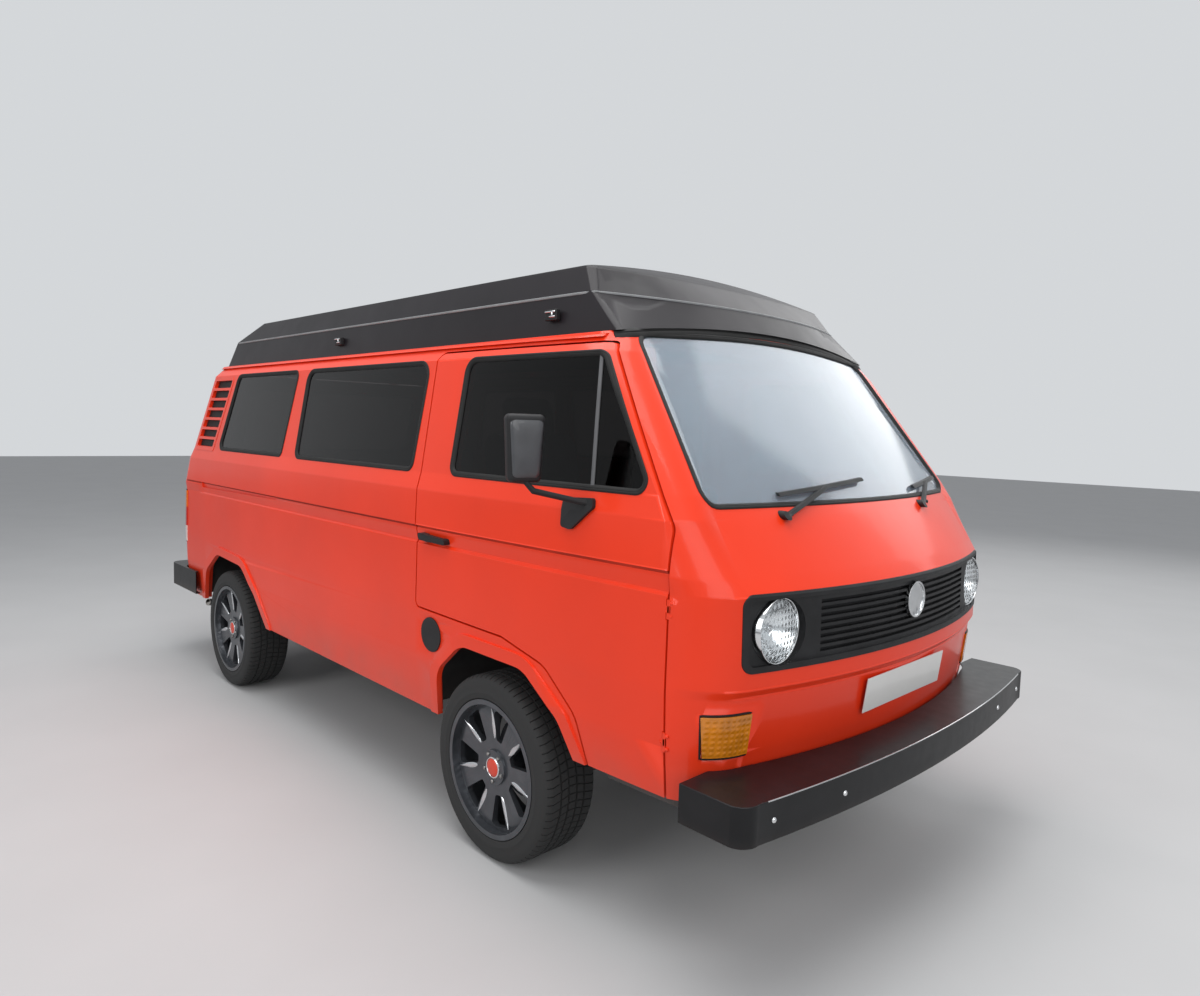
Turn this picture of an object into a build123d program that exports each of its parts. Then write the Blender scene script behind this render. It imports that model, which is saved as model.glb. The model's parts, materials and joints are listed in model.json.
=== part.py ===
from build123d import *
import functools
import math
import os

# Camper van with a rising roof. Millimetres, +X forward, +Y to the van's left, +Z up.
# The origin is on the ground, midway between the front and rear bumper faces.

os.makedirs("parts", exist_ok=True)

# Driving dimensions of the body
overall_length = 4570.0
front_axle_x = 1125.0
wheelbase = 2460.0
sill_z = 419.0
nose_bottom_z = 478.0
wall = 42.0
roof_crown_z = 1850.0
gutter_z = 1787.0
gutter_half = 786.0
door_gap = 7.0
door_top_z = 1765.0
window_low_z = 1316.5
window_high_z = 1728.0
seam = 0.5
taper_start_x = 650.0
rear_corner_radius = 130.0
rear_crown = 22.0

# Body sections, one row per height. Columns: height, front face x on the centre line, half width of
# the front face, how far its ends lie back, x and half width where the side begins, half width of
# the straight side, rear face x on the centre line
BODY_SECTIONS = [
    (sill_z, 2108.0, 700.0, 95.0, 1888.0, 860.0, 893.0, -2138.0),
    (620.0, 2142.0, 720.0, 102.0, 1895.0, 876.0, 914.0, -2150.0),
    (775.0, 2162.0, 735.0, 108.0, 1897.0, 881.0, 918.0, -2152.0),
    (800.0, 2180.0, 738.0, 110.0, 1897.0, 881.0, 918.0, -2152.0),
    (1054.0, 2176.0, 745.0, 113.0, 1893.0, 879.0, 914.0, -2150.0),
    (1098.0, 2144.0, 745.0, 110.0, 1890.0, 885.0, 924.0, -2134.0),
    (1250.0, 2027.0, 740.0, 92.0, 1868.0, 876.0, 918.0, -2068.0),
    (1314.0, 1977.0, 728.0, 82.0, 1830.0, 864.0, 900.0, -2040.0),
    (1732.0, 1657.0, 655.0, 72.0, 1528.0, 802.0, 835.0, -1867.0),
    (gutter_z, 1615.0, 645.0, 70.0, 1488.0, 760.0, gutter_half, -1845.0),
    (1870.0, 1551.0, 630.0, 66.0, 1440.0, 745.0, 770.0, -1812.0),
]

# Doors and windows, side view outlines. Columns: x, height, corner radius
FRONT_DOOR = [
    (655.0, 803.0, 30.0), (1189.0, 791.0, 60.0), (1399.0, 742.0, 110.0), (1540.0, 620.0, 90.0),
    (1608.0, nose_bottom_z - 60.0, 1.0), (1897.0, nose_bottom_z - 60.0, 1.0), (1897.0, 1236.0, 70.0),
    (1704.0, 1521.0, 500.0), (1541.0, door_top_z, 22.0), (655.0, door_top_z, 30.0),
]
FRONT_DOOR_WINDOW = [
    (851.0, window_low_z, 35.0), (1805.0, window_low_z, 32.0), (1538.0, window_high_z, 45.0),
    (860.0, window_high_z, 50.0),
]
MIDDLE_WINDOW = [
    (-475.0, window_low_z, 35.0), (588.0, window_low_z, 35.0), (612.0, window_high_z, 60.0),
    (-462.0, window_high_z, 60.0),
]
REAR_WINDOW = [
    (-1502.0, window_low_z, 35.0), (-641.0, window_low_z, 30.0), (-572.0, window_high_z, 30.0),
    (-1362.0, window_high_z, 55.0),
]
SLIDING_DOOR = [
    (-548.0, 450.0, 40.0), (640.0, 450.0, 30.0), (640.0, door_top_z - 8, 30.0),
    (-525.0, door_top_z - 8, 30.0),
]
WINDSCREEN = [
    (-761.0, 1284.0, 45.0), (761.0, 1284.0, 45.0), (671.0, 1796.0, 60.0), (0.0, 1830.0, 7000.0),
    (-671.0, 1796.0, 60.0),
]
TAILGATE = [
    (-672.0, 905.0, 45.0), (672.0, 905.0, 45.0), (690.0, 1240.0, 60.0), (628.0, 1762.0, 60.0),
    (-628.0, 1762.0, 60.0), (-690.0, 1240.0, 60.0),
]
REAR_GLASS = [
    (-600.0, 1290.0, 70.0), (600.0, 1290.0, 70.0), (560.0, 1680.0, 80.0), (-560.0, 1680.0, 80.0),
]

# Wheel arches, side view outlines relative to the axle. Columns: x, height, corner radius
FRONT_ARCH = [
    (-336.0, 300.0, 1.0), (452.0, 300.0, 1.0), (440.0, 430.0, 60.0), (345.0, 590.0, 120.0),
    (180.0, 712.0, 120.0), (-165.0, 718.0, 130.0), (-318.0, 590.0, 120.0),
]
REAR_ARCH = [
    (-420.0, 300.0, 1.0), (530.0, 300.0, 1.0), (515.0, 412.0, 60.0), (385.0, 578.0, 140.0),
    (225.0, 704.0, 130.0), (-140.0, 722.0, 140.0), (-335.0, 600.0, 140.0), (-405.0, 430.0, 60.0),
]
flare_width = 46.0
flare_proud = 8.0
arch_lip = 13.0
wheel_well_inner_y = 560.0

# Wheels and steering
tyre_radius = 320.0
tyre_width = 218.0
tyre_shoulder = 26.0
rim_radius = 228.6
rim_width = 200.0
rim_flange = 8.0
rim_barrel = 9.0
spoke_count = 7
wheel_track = 1604.0
hub_radius = 34.0
spindle_radius = 22.0
spindle_fit = 0.05
bead_clearance = 0.3
kingpin_y = 690.0
kingpin_radius = 12.0
steering_clearance = 0.3

# Rising roof
roof_seam_z = 1936.0
roof_shell = 24.0
roof_seat = 0.5
roof_top_z = 2078.0
# Roof sections. Columns: height, front x on the centre line, half width of the front, how far its
# ends lie back, x and half width where the side begins, half width, rear x on the centre line
ROOF_SECTIONS = [
    (1760.0, 1652.0, 722.0, 78.0, 1560.0, 750.0, 758.0, -1862.0),
    (roof_seam_z, 1522.0, 700.0, 128.0, 1376.0, 722.0, 730.0, -1742.0),
    (2028.0, 1402.0, 655.0, 66.0, 1310.0, 684.0, 694.0, -1450.0),
    (2100.0, 1250.0, 600.0, 66.0, 1150.0, 640.0, 650.0, -1150.0),
]


def outline(rows, grow=0.0):
    """Closed face from corner rows (x, y, radius), moved outwards by grow, corners rounded."""
    area = sum(a[0] * b[1] - b[0] * a[1] for a, b in zip(rows, rows[1:] + rows[:1]))
    if area < 0:
        rows = rows[::-1]
    count = len(rows)
    starts, middles, ends = [], [], []
    for i in range(count):
        before, here, after = (Vector(*rows[(i + k) % count][:2]) for k in (-1, 0, 1))
        arriving = (here - before).normalized()
        leaving = (after - here).normalized()
        out_a = Vector(arriving.Y, -arriving.X)
        out_b = Vector(leaving.Y, -leaving.X)
        corner = here + (out_a + out_b) * (grow / (1 + out_a.dot(out_b)))
        convex = arriving.X * leaving.Y - arriving.Y * leaving.X > 0
        radius = max(rows[i][2] + (grow if convex else -grow), 0.6)
        turn = math.acos(max(-1.0, min(1.0, arriving.dot(leaving))))
        reach = radius * math.tan(turn / 2)
        inward = (leaving - arriving).normalized()
        centre = corner + inward * (radius / math.cos(turn / 2))
        starts.append(corner - arriving * reach)
        ends.append(corner + leaving * reach)
        middles.append(centre - inward * radius)
    edges = []
    for i in range(count):
        edges.append(ThreePointArc(starts[i], middles[i], ends[i]))
        edges.append(Line(ends[i], starts[(i + 1) % count]))
    return make_face(edges)


def side_prism(rows, y_from, y_to, grow=0.0, shift=0.0):
    """A side view outline (x, z, radius) carried from y_from to y_to."""
    moved = [(x + shift, z, r) for x, z, r in rows]
    plane = Plane(origin=(0, y_to, 0), x_dir=(1, 0, 0), z_dir=(0, -1, 0))
    return extrude(plane * outline(moved, grow), amount=y_to - y_from)


def front_prism(rows, x_from, x_to, grow=0.0):
    """A front view outline (y, z, radius) carried from x_from to x_to."""
    return extrude(Plane.YZ.offset(x_from) * outline(rows, grow), amount=x_to - x_from)


def box(x_from, x_to, y_from, y_to, z_from, z_to):
    """A box between its low and high corners."""
    size = (x_to - x_from, y_to - y_from, z_to - z_from)
    return Pos((x_from + x_to) / 2, (y_from + y_to) / 2, (z_from + z_to) / 2) * Box(*size)


def rod(start, end, radius):
    """A round rod from start to end."""
    begin = Vector(*start)
    run = Vector(*end) - begin
    plane = Plane(origin=begin, z_dir=run)
    return extrude(plane * Circle(radius), amount=run.length)


def mirrored(part):
    """The same piece on the other side of the van."""
    return mirror(part, about=Plane.XZ)


def section(row, inset, rear_radius, crown):
    """One horizontal outline of the body: crowned front, rounded corners, tapered sides."""
    z, front_x, face_half, drop, side_x, side_half, half, rear_x = row
    lean = math.atan(2 * drop / face_half)
    face = Vector(front_x - drop - inset * math.cos(lean), face_half - inset * math.sin(lean))
    side = Vector(side_x, side_half - inset)
    chord = side - face
    bulge = Vector(-chord.Y, chord.X) * -0.156
    corner = (face + side) * 0.5 + bulge
    full = half - inset
    taper_x = min(taper_start_x, side.X - 100)
    span, step = side.X - taper_x, full - side.Y
    turn = (span ** 2 + step ** 2) / (2 * step)
    taper = Vector(taper_x + span / 2, full - turn + math.sqrt(turn ** 2 - span ** 2 / 4))
    rear = rear_x + inset
    radius = max(rear_radius - inset, 12.0)
    rear_side = Vector(rear + crown + radius, full)
    rear_face = Vector(rear + crown, full - radius)
    rear_cut = radius * (1 - math.sqrt(0.5))
    rear_mid = Vector(rear + crown + rear_cut, full - rear_cut)
    left = [rear_face, rear_mid, rear_side, Vector(taper_x, full), taper, side, corner, face]
    right = [Vector(p.X, -p.Y) for p in left]
    a, b, c, d, e, f, g, h = left
    a2, b2, c2, d2, e2, f2, g2, h2 = right
    edges = [
        ThreePointArc(h2, Vector(front_x - inset, 0), h), ThreePointArc(h, g, f), ThreePointArc(f, e, d),
        Line(d, c), ThreePointArc(c, b, a), ThreePointArc(a, Vector(rear, 0), a2),
        ThreePointArc(a2, b2, c2), Line(c2, d2), ThreePointArc(d2, e2, f2), ThreePointArc(f2, g2, h2),
    ]
    return Pos(0, 0, z) * make_face(edges)


def crown_block(top_z, edge_half, edge_z):
    """Everything under a roof surface that is an arc from side to side."""
    rise = top_z - edge_z
    radius = (edge_half ** 2 + rise ** 2) / (2 * rise)
    far = 1100.0
    far_z = top_z - radius + math.sqrt(radius ** 2 - far ** 2)
    edges = [
        Line((-far, 100), (far, 100)), Line((far, 100), (far, far_z)),
        ThreePointArc((far, far_z), (0, top_z), (-far, far_z)), Line((-far, far_z), (-far, 100)),
    ]
    return extrude(Plane.YZ.offset(-2600) * make_face(edges), amount=5200)


@functools.lru_cache(maxsize=None)
def hull(inset, open_below=0.0):
    """The closed body form, inset from the outer skin."""
    rows = [(BODY_SECTIONS[0][0] - open_below,) + BODY_SECTIONS[0][1:]] + BODY_SECTIONS[1:]
    sections = [section(row, inset, rear_corner_radius, rear_crown) for row in rows]
    body = loft(sections, ruled=True)
    return body & crown_block(roof_crown_z - inset, gutter_half, gutter_z + 6 - inset)


def roof_form(inset, low, high):
    """The rising roof's outer form between two heights."""
    sections = [section(row, inset, 60.0, 20.0) for row in ROOF_SECTIONS]
    body = loft(sections, ruled=True) & crown_block(roof_top_z - inset, 690.0, 2030.0 - inset)
    return body & box(-2600, 2600, -1000, 1000, low, high)


def skin_piece(zone, inset_out, inset_in):
    """The sheet between two insets of the body form inside a zone; a negative inset stands proud."""
    return (zone & hull(inset_out, 0.0)) - hull(inset_in, 20.0)


def barrel_hinge(centre, axis, length, radius, fixed_way, moving_way, fit=0.3, room=3.0):
    """Hinge along axis: outer thirds with the pin, the middle third, and the pockets that clear each.

    Lugs run along fixed_way and moving_way from the axis into the pieces that the hinge joins.
    """
    along = Vector(*axis).normalized()
    mid = Vector(*centre)
    ends = [mid + along * (length / 3 * k) for k in (-1.5, -0.5, 0.5, 1.5)]
    play = along * 0.5
    past = along * room
    fixed = rod(ends[0], ends[1] - play, radius) + rod(ends[2] + play, ends[3], radius)
    fixed += rod(ends[0], ends[3], radius * 0.5)
    for k in (-1, 1):
        root = mid + along * (length / 3 * k)
        fixed += rod(root, root + Vector(*fixed_way), radius * 0.9)
    bore = rod(ends[0], ends[3], radius * 0.5 + fit)
    moving = (rod(ends[1], ends[2], radius) + rod(mid, mid + Vector(*moving_way), radius * 0.9)) - bore
    fixed_room = rod(ends[0] - past, ends[1] - play, radius + room)
    fixed_room += rod(ends[2] + play, ends[3] + past, radius + room)
    moving_room = rod(ends[1] - play, ends[2] + play, radius + room)
    return fixed, moving, fixed_room, moving_room


# Body panels
right_space = (-1100.0, -480.0)
whole_width = (-1100.0, 1100.0)
rear_axle_x = front_axle_x - wheelbase
hub_z = tyre_radius
wheel_y = wheel_track / 2
roof_front_x, roof_rear_x = 1470.0, -1760.0
front_zone_rows = [
    (2600, 300, 1), (1897, 300, 1), (1897, 1236, 70), (1704, 1521, 500), (1541, door_top_z, 22),
    (roof_front_x, door_top_z, 1), (roof_front_x, 2000, 1), (2600, 2000, 1),
]
rear_zone_rows = [
    (-2600, 300, 1), (-1985, 300, 1), (-1985, 1098, 40), (roof_rear_x - 8, door_top_z, 1),
    (roof_rear_x, door_top_z, 1), (roof_rear_x, 2000, 1), (-2600, 2000, 1),
]
wall_shell = hull(0.0, 0.0) - hull(wall, 20.0)
front_wall = wall_shell & side_prism(front_zone_rows, *whole_width)
rear_wall = wall_shell & side_prism(rear_zone_rows, *whole_width)
roof_zone = box(roof_rear_x, roof_front_x, *whole_width, door_top_z, 2000)
wall_right = wall_shell & box(-2600, 1990, *right_space, 300, door_top_z)
nose_under = box(1500, 2600, *whole_width, 300, nose_bottom_z)
parts = {}

# Door hinges lie in the front shut line, on the skin
door_hinge_heights = (640.0, 1010.0)
door_hinge_x = 1893.5
door_hinge_y = 880.0
door_hinges = [
    barrel_hinge((door_hinge_x, -door_hinge_y, z), (0, 0, 1), 54.0, 5.0, (14, 5, 0), (-14, 5, 0))
    for z in door_hinge_heights
]

# Tailgate hinges lie along its top edge
tailgate_hinge_x = -1857.0
tailgate_hinge_z = 1763.0
tailgate_hinges = [
    barrel_hinge((tailgate_hinge_x, y, tailgate_hinge_z), (0, 1, 0), 66.0, 5.0, (17, 0, 12), (17, 0, -14))
    for y in (-390.0, 390.0)
]

# Right side wall, with its flared arches, windows, swage recess and louvres
door_space = side_prism(FRONT_DOOR, *right_space)
arches = side_prism(FRONT_ARCH, *right_space, shift=front_axle_x)
arches += side_prism(REAR_ARCH, *right_space, shift=rear_axle_x)
arch_backs = side_prism(FRONT_ARCH, *right_space, grow=40, shift=front_axle_x)
arch_backs += side_prism(REAR_ARCH, *right_space, grow=30, shift=rear_axle_x)
flares = side_prism(FRONT_ARCH, *right_space, grow=flare_width, shift=front_axle_x)
flares += side_prism(REAR_ARCH, *right_space, grow=flare_width, shift=rear_axle_x)
flares = skin_piece(flares, -flare_proud, 12.0) - door_space

SWAGE_RECESS = [(-1728.0, 1084.0, 8.0), (-640.0, 1099.0, 6.0), (-640.0, 1113.0, 6.0), (-1728.0, 1116.0, 8.0)]
LOUVRE_PANEL = [
    (-1893.0, 1300.0, 20.0), (-1588.0, 1300.0, 20.0), (-1420.0, 1722.0, 20.0), (-1716.0, 1722.0, 20.0),
]
louvre_count = 7
louvre_pitch = 56.5
louvre_height = 42.0
louvre_first_z = 1324.0
louvre_rear_x, louvre_front_x = -1864.0, -1606.0
louvre_slant = 0.42
louvre_proud = 2.0

louvre_space = side_prism(LOUVRE_PANEL, *right_space)
side = wall_right - louvre_space
for window in (MIDDLE_WINDOW, REAR_WINDOW):
    side -= side_prism(window, *right_space)
side -= side_prism(front_zone_rows, *right_space)
side -= side_prism(rear_zone_rows, *right_space)
side -= door_space
side -= side_prism(SWAGE_RECESS, *right_space) - hull(9.0, 0.0)
side = side + flares - arches - (arch_backs & hull(arch_lip, 0.0)) - nose_under

louvres = skin_piece(side_prism(LOUVRE_PANEL, *right_space, grow=-seam), -louvre_proud, 30.0)
slots = []
for i in range(louvre_count):
    low = louvre_first_z + i * louvre_pitch
    high = low + louvre_height
    back, front = ((low - louvre_first_z) * louvre_slant, (high - louvre_first_z) * louvre_slant)
    slots.append(side_prism([
        (louvre_rear_x + back, low, 5), (louvre_front_x + back, low, 5),
        (louvre_front_x + front, high, 5), (louvre_rear_x + front, high, 5),
    ], *right_space))
louvres -= Part() + slots - hull(18.0, 0.0)

cap_x, cap_z, cap_radius, cap_depth = 768.0, 717.0, 64.0, 16.0
cap_line = ((cap_x, right_space[0], cap_z), (cap_x, right_space[1], cap_z))
parts["fuel_cap"] = [skin_piece(rod(*cap_line, cap_radius), -4.0, cap_depth - seam)]
side_right = side - (rod(*cap_line, cap_radius + seam) - hull(cap_depth, 0.0))

# Sliding door on the left, drawn on the right and mirrored, with the lip that laps the wall inside
sliding_gap = 4.0
lip_lap, lip_thickness = 11.0, 7.0
sliding_space = side_prism(SLIDING_DOOR, *right_space)
sliding = wall_right & side_prism(SLIDING_DOOR, *right_space, grow=-sliding_gap)
lip_limits = box(-2600, 2600, *right_space, sill_z + 55, door_top_z - 12)
lip_outer = side_prism(SLIDING_DOOR, *right_space, grow=lip_lap) & lip_limits
lip_inner = side_prism(SLIDING_DOOR, *right_space, grow=-lip_lap) & lip_limits
lip = skin_piece(lip_outer, wall + seam, wall + lip_thickness)
lip += skin_piece(lip_inner, wall - 1.0, wall + lip_thickness)
sliding = (sliding + lip) - side_prism(MIDDLE_WINDOW, *right_space)
HANDLE_SLIDING = [(470, 1062, 8), (600, 1062, 8), (600, 1086, 8), (470, 1086, 8)]
sliding += skin_piece(side_prism(HANDLE_SLIDING, *right_space), -16.0, 3.0)
parts["sliding_door"] = [mirrored(sliding)]
parts["side_right"] = [side_right]
parts["side_left"] = [mirrored(side - sliding_space)]
parts["louvres"] = [louvres, mirrored(louvres)]

# Front doors
door = (wall_right & side_prism(FRONT_DOOR, *right_space, grow=-door_gap)) - nose_under
door -= side_prism(FRONT_DOOR_WINDOW, *right_space)
front_panel = front_wall - nose_under
for fixed, moving, fixed_room, moving_room in door_hinges:
    door = (door - fixed_room) + moving
    front_panel = front_panel - moving_room - mirrored(moving_room) + fixed + mirrored(fixed)
door_glass = skin_piece(side_prism(FRONT_DOOR_WINDOW, *right_space, grow=-seam), 6.0, 12.0)

# Door mirror on its arm and bracket, and the pull handle
MIRROR_FOOT = [
    (1478.0, 1196.0, 12.0), (1520.0, 1190.0, 14.0), (1606.0, 1262.0, 12.0), (1600.0, 1290.0, 12.0),
    (1478.0, 1284.0, 12.0),
]
HANDLE = [(700.0, 1064.0, 9.0), (872.0, 1062.0, 9.0), (872.0, 1084.0, 9.0), (700.0, 1092.0, 12.0)]
HANDLE_GRIP = [(745.0, 1050.0, 4.0), (850.0, 1050.0, 4.0), (850.0, 1100.0, 4.0), (745.0, 1100.0, 4.0)]
mirror_size = (50.0, 106.0, 196.0)
mirror_centre = (1495.0, -1072.0, 1432.0)
mirror_round = 16.0
arm_radius = 9.0
arm_points = (Vector(1575, -890, 1272), Vector(1515, -1050, 1310), Vector(1497, -1072, 1345))
mirror_arm = rod(arm_points[0], arm_points[1], arm_radius) + rod(arm_points[1], arm_points[2], arm_radius)
mirror_arm += Pos(arm_points[1]) * Sphere(arm_radius)
mirror_head = Pos(*mirror_centre) * Rot(0, 0, 8) * fillet(Box(*mirror_size).edges(), mirror_round)
door_mirror = skin_piece(side_prism(MIRROR_FOOT, *right_space), -13.0, -0.3)
door_mirror += (mirror_arm - hull(-6.0, 0.0)) + mirror_head
handle = skin_piece(side_prism(HANDLE, *right_space), -18.0, -0.3)
handle -= side_prism(HANDLE_GRIP, *right_space) & hull(-9.0, 0.0)
parts["door_right"] = [door]
parts["door_right_glass"] = [door_glass]
parts["door_right_mirror_and_handle"] = [door_mirror, handle]
parts["door_left"] = [mirrored(door)]
parts["door_left_glass"] = [mirrored(door_glass)]
parts["door_left_mirror_and_handle"] = [mirrored(door_mirror), mirrored(handle)]

# Nose: grille panel with bars, headlamps, badge, indicators
GRILLE = [(-764.0, 845.0, 34.0), (764.0, 845.0, 34.0), (764.0, 1061.0, 34.0), (-764.0, 1061.0, 34.0)]
GRILLE_FIELD = [(-744.0, 863.0, 20.0), (744.0, 863.0, 20.0), (744.0, 1043.0, 20.0), (-744.0, 1043.0, 20.0)]
bar_field_half = 478.0
bar_count = 8
bar_pitch = 20.0
bar_slot = 11.0
bar_first_z = 876.0
lamp_y = 632.0
lamp_z = 952.0
lamp_radius = 89.0
lamp_ring = 5.0
lamp_face_x = 2090.0
lamp_back_x = 1985.0
lamp_rise = 11.4
badge_z = 977.0
badge_radius = 58.0
indicator_low, indicator_high = 612.0, 728.0
indicator_rear_x, indicator_inner_y = 1990.0, 708.0
nose_space = (1800.0, 2400.0)

front_panel -= front_prism(WINDSCREEN, 1528, 2300)
front_panel -= front_prism(GRILLE, *nose_space)
indicator_zone = box(indicator_rear_x, 2400, -1000, -indicator_inner_y, indicator_low, indicator_high)
indicator = skin_piece(indicator_zone, -7.0, 26.0)
indicator_pocket = box(
    indicator_rear_x - seam, 2400, -1000, -indicator_inner_y + seam, indicator_low - seam,
    indicator_high + seam)
indicator_pocket -= hull(26.0 + seam, 0.0)
front_panel = front_panel - indicator_pocket - mirrored(indicator_pocket)
parts["indicators"] = [indicator, mirrored(indicator)]

grille = skin_piece(front_prism(GRILLE, *nose_space, grow=-seam), -3.0, 30.0)
grille -= front_prism(GRILLE_FIELD, *nose_space) - hull(9.0, 0.0)
bar_heights = [bar_first_z + i * bar_pitch for i in range(bar_count)]
bar_gaps = [box(*nose_space, -bar_field_half, bar_field_half, z, z + bar_slot) for z in bar_heights]
grille -= Part() + bar_gaps - hull(24.0, 0.0)
lamp_outer = lamp_radius + lamp_ring
lamp_depth = lamp_face_x - lamp_back_x
lens_edge = lamp_depth - 7.0
# Lens columns: radius, rise over its edge
LENS = [(lamp_radius, 0.0), (70.0, 4.8), (45.0, 9.0), (20.0, lamp_rise)]
lamp_rows = [(0.0, 0.0), (lamp_outer, 0.0), (lamp_outer, lamp_depth), (lamp_radius, lamp_depth)]
lamp_rows += [(r, lens_edge + rise) for r, rise in LENS] + [(0.0, lens_edge + lamp_rise)]
lamp_face = make_face(Polyline(*lamp_rows, close=True))
lamp = Pos(lamp_back_x, -lamp_y, lamp_z) * Rot(0, 0, -90) * revolve(lamp_face, axis=Axis.Y)
lamp_hole = rod((1800, -lamp_y, lamp_z), (2400, -lamp_y, lamp_z), lamp_radius + lamp_ring + seam)
badge_back = 8.7
badge_hole = rod((2000, 0, badge_z), (2300, 0, badge_z), badge_radius + seam) - hull(badge_back + seam, 0.0)
parts["front_panel"] = [front_panel - badge_hole]
parts["grille"] = [grille - badge_hole - lamp_hole - mirrored(lamp_hole)]
parts["headlamps"] = [lamp, mirrored(lamp)]
badge = skin_piece(rod((2000, 0, badge_z), (2300, 0, badge_z), badge_radius), -4.0, badge_back)
badge -= rod((2000, 0, badge_z), (2300, 0, badge_z), badge_radius - 6.0) - hull(1.0, 0.0)
parts["badge"] = [badge]

# Screen and fixed glass
screen_limits = side_prism(front_zone_rows, *whole_width)
screen_space = front_prism(WINDSCREEN, 1528, 2300, grow=-seam) & screen_limits
parts["windscreen"] = [skin_piece(screen_space, 6.0, 12.0)]
middle_glass = skin_piece(side_prism(MIDDLE_WINDOW, *right_space, grow=-seam), 6.0, 12.0)
rear_side_glass = skin_piece(side_prism(REAR_WINDOW, *right_space, grow=-seam), 6.0, 12.0)
parts["side_windows"] = [middle_glass, rear_side_glass, mirrored(middle_glass), mirrored(rear_side_glass)]

# Rear panel, tail lamps and tailgate
tail_lamp_low, tail_lamp_high = 735.0, 1045.0
tail_lamp_front_x, tail_lamp_inner_y = -2000.0, 694.0
tailgate_space = (-2400.0, -1700.0)
TAILGATE_HANDLE = [(-90, 1010, 8), (90, 1010, 8), (90, 1034, 8), (-90, 1034, 8)]
tail_lamp = skin_piece(
    box(-2400, tail_lamp_front_x, -1100, -tail_lamp_inner_y, tail_lamp_low, tail_lamp_high), -6.0, 24.0)
tail_lamp_pocket = box(
    -2400, tail_lamp_front_x + seam, -1100, -tail_lamp_inner_y + seam, tail_lamp_low - seam,
    tail_lamp_high + seam)
tail_lamp_pocket -= hull(24.0 + seam, 0.0)
rear_panel = rear_wall - front_prism(TAILGATE, *tailgate_space)
rear_panel = rear_panel - tail_lamp_pocket - mirrored(tail_lamp_pocket)
tailgate = rear_wall & front_prism(TAILGATE, *tailgate_space, grow=-door_gap)
tailgate -= front_prism(REAR_GLASS, *tailgate_space)
for fixed, moving, fixed_room, moving_room in tailgate_hinges:
    tailgate = (tailgate - fixed_room) + moving
    rear_panel = (rear_panel - moving_room) + fixed
tailgate += skin_piece(front_prism(TAILGATE_HANDLE, *tailgate_space), -14.0, 2.0)
parts["rear_panel"] = [rear_panel]
parts["tail_lamps"] = [tail_lamp, mirrored(tail_lamp)]
parts["tailgate"] = [tailgate]
parts["tailgate_glass"] = [skin_piece(front_prism(REAR_GLASS, *tailgate_space, grow=-seam), 6.0, 12.0)]

# Steel roof rim with the drip rails
roof_hole_rear_x, roof_hole_front_x, roof_hole_half = -1560.0, 1250.0, 560.0
roof_rim = wall_shell & roof_zone
roof_rim -= box(roof_hole_rear_x, roof_hole_front_x, -roof_hole_half, roof_hole_half, 1700, 2000)
drip_rail = skin_piece(box(-1762, 1500, -1000, -600, gutter_z - 9, gutter_z + 3), -13.0, -0.3)
parts["roof_rim"] = [roof_rim, drip_rail, mirrored(drip_rail)]

# Rising roof: a fixed black tray, and the lid that hinges at its rear edge, bonded from two mouldings
roof_lid_joint_x, roof_lid_joint = -1430.0, 0.3
tray = roof_form(0.0, 1776, roof_seam_z) - roof_form(roof_shell, 1700, 2000)
tray -= crown_block(roof_crown_z + 0.3, gutter_half, gutter_z + 6.3)
lid = roof_form(0.0, roof_seam_z + roof_seat, 2200) - roof_form(roof_shell, 1700, 2200)
roof_hinge_x = -1752.0
roof_hinge_z = roof_seam_z + 0.5 * roof_seat
roof_hinge_length = 90.0
roof_leaf_half = 14.0
ROOF_LEAF = [
    (-1741.0, roof_seam_z + roof_seat, 0.5), (-1690.0, 1946.5, 0.5), (-1690.0, 1957.0, 3.0),
    (-1728.0, 1963.0, 4.0), (-1741.0, 1950.0, 3.0),
]
for y in (-430.0, 430.0):
    fixed, moving, _, _ = barrel_hinge(
        (roof_hinge_x, y, roof_hinge_z), (0, 1, 0), roof_hinge_length, 6.5, (24, 0, -20), (24, 0, 20))
    leaf = side_prism(ROOF_LEAF, y - roof_leaf_half, y + roof_leaf_half)
    tray = tray + fixed
    lid = lid + (leaf + moving)
CATCH_XS = (1225.0, -325.0)
catches = []
for x in CATCH_XS:
    body = Pos(x, -752, 1866) * fillet(Box(62, 18, 36).edges(), 3.0)
    catches.append(body - roof_form(-0.3, 1700, 2200))
parts["roof_tray"] = [tray]
parts["roof_catches"] = catches + [mirrored(c) for c in catches]
parts["roof_lid"] = [
    lid & box(roof_lid_joint_x, 2600, *whole_width, 1700, 2200),
    lid & box(-2600, roof_lid_joint_x - roof_lid_joint, *whole_width, 1700, 2200)]

# Bumpers: channels open to the body, each on two brackets
bumper_sheet = 6.0
bumper_side_y = 935.0
bumper_gap = 8.0
front_face_x = overall_length / 2
FRONT_BUMPER = (front_face_x, 72.0, 872.0, 2000.0, 470.0, 578.0)
REAR_BUMPER = (front_face_x, 23.0, 860.0, 1800.0, 440.0, 575.0)
bracket_y, bracket_half, bracket_depth = 400.0, 25.0, 190.0


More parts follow.
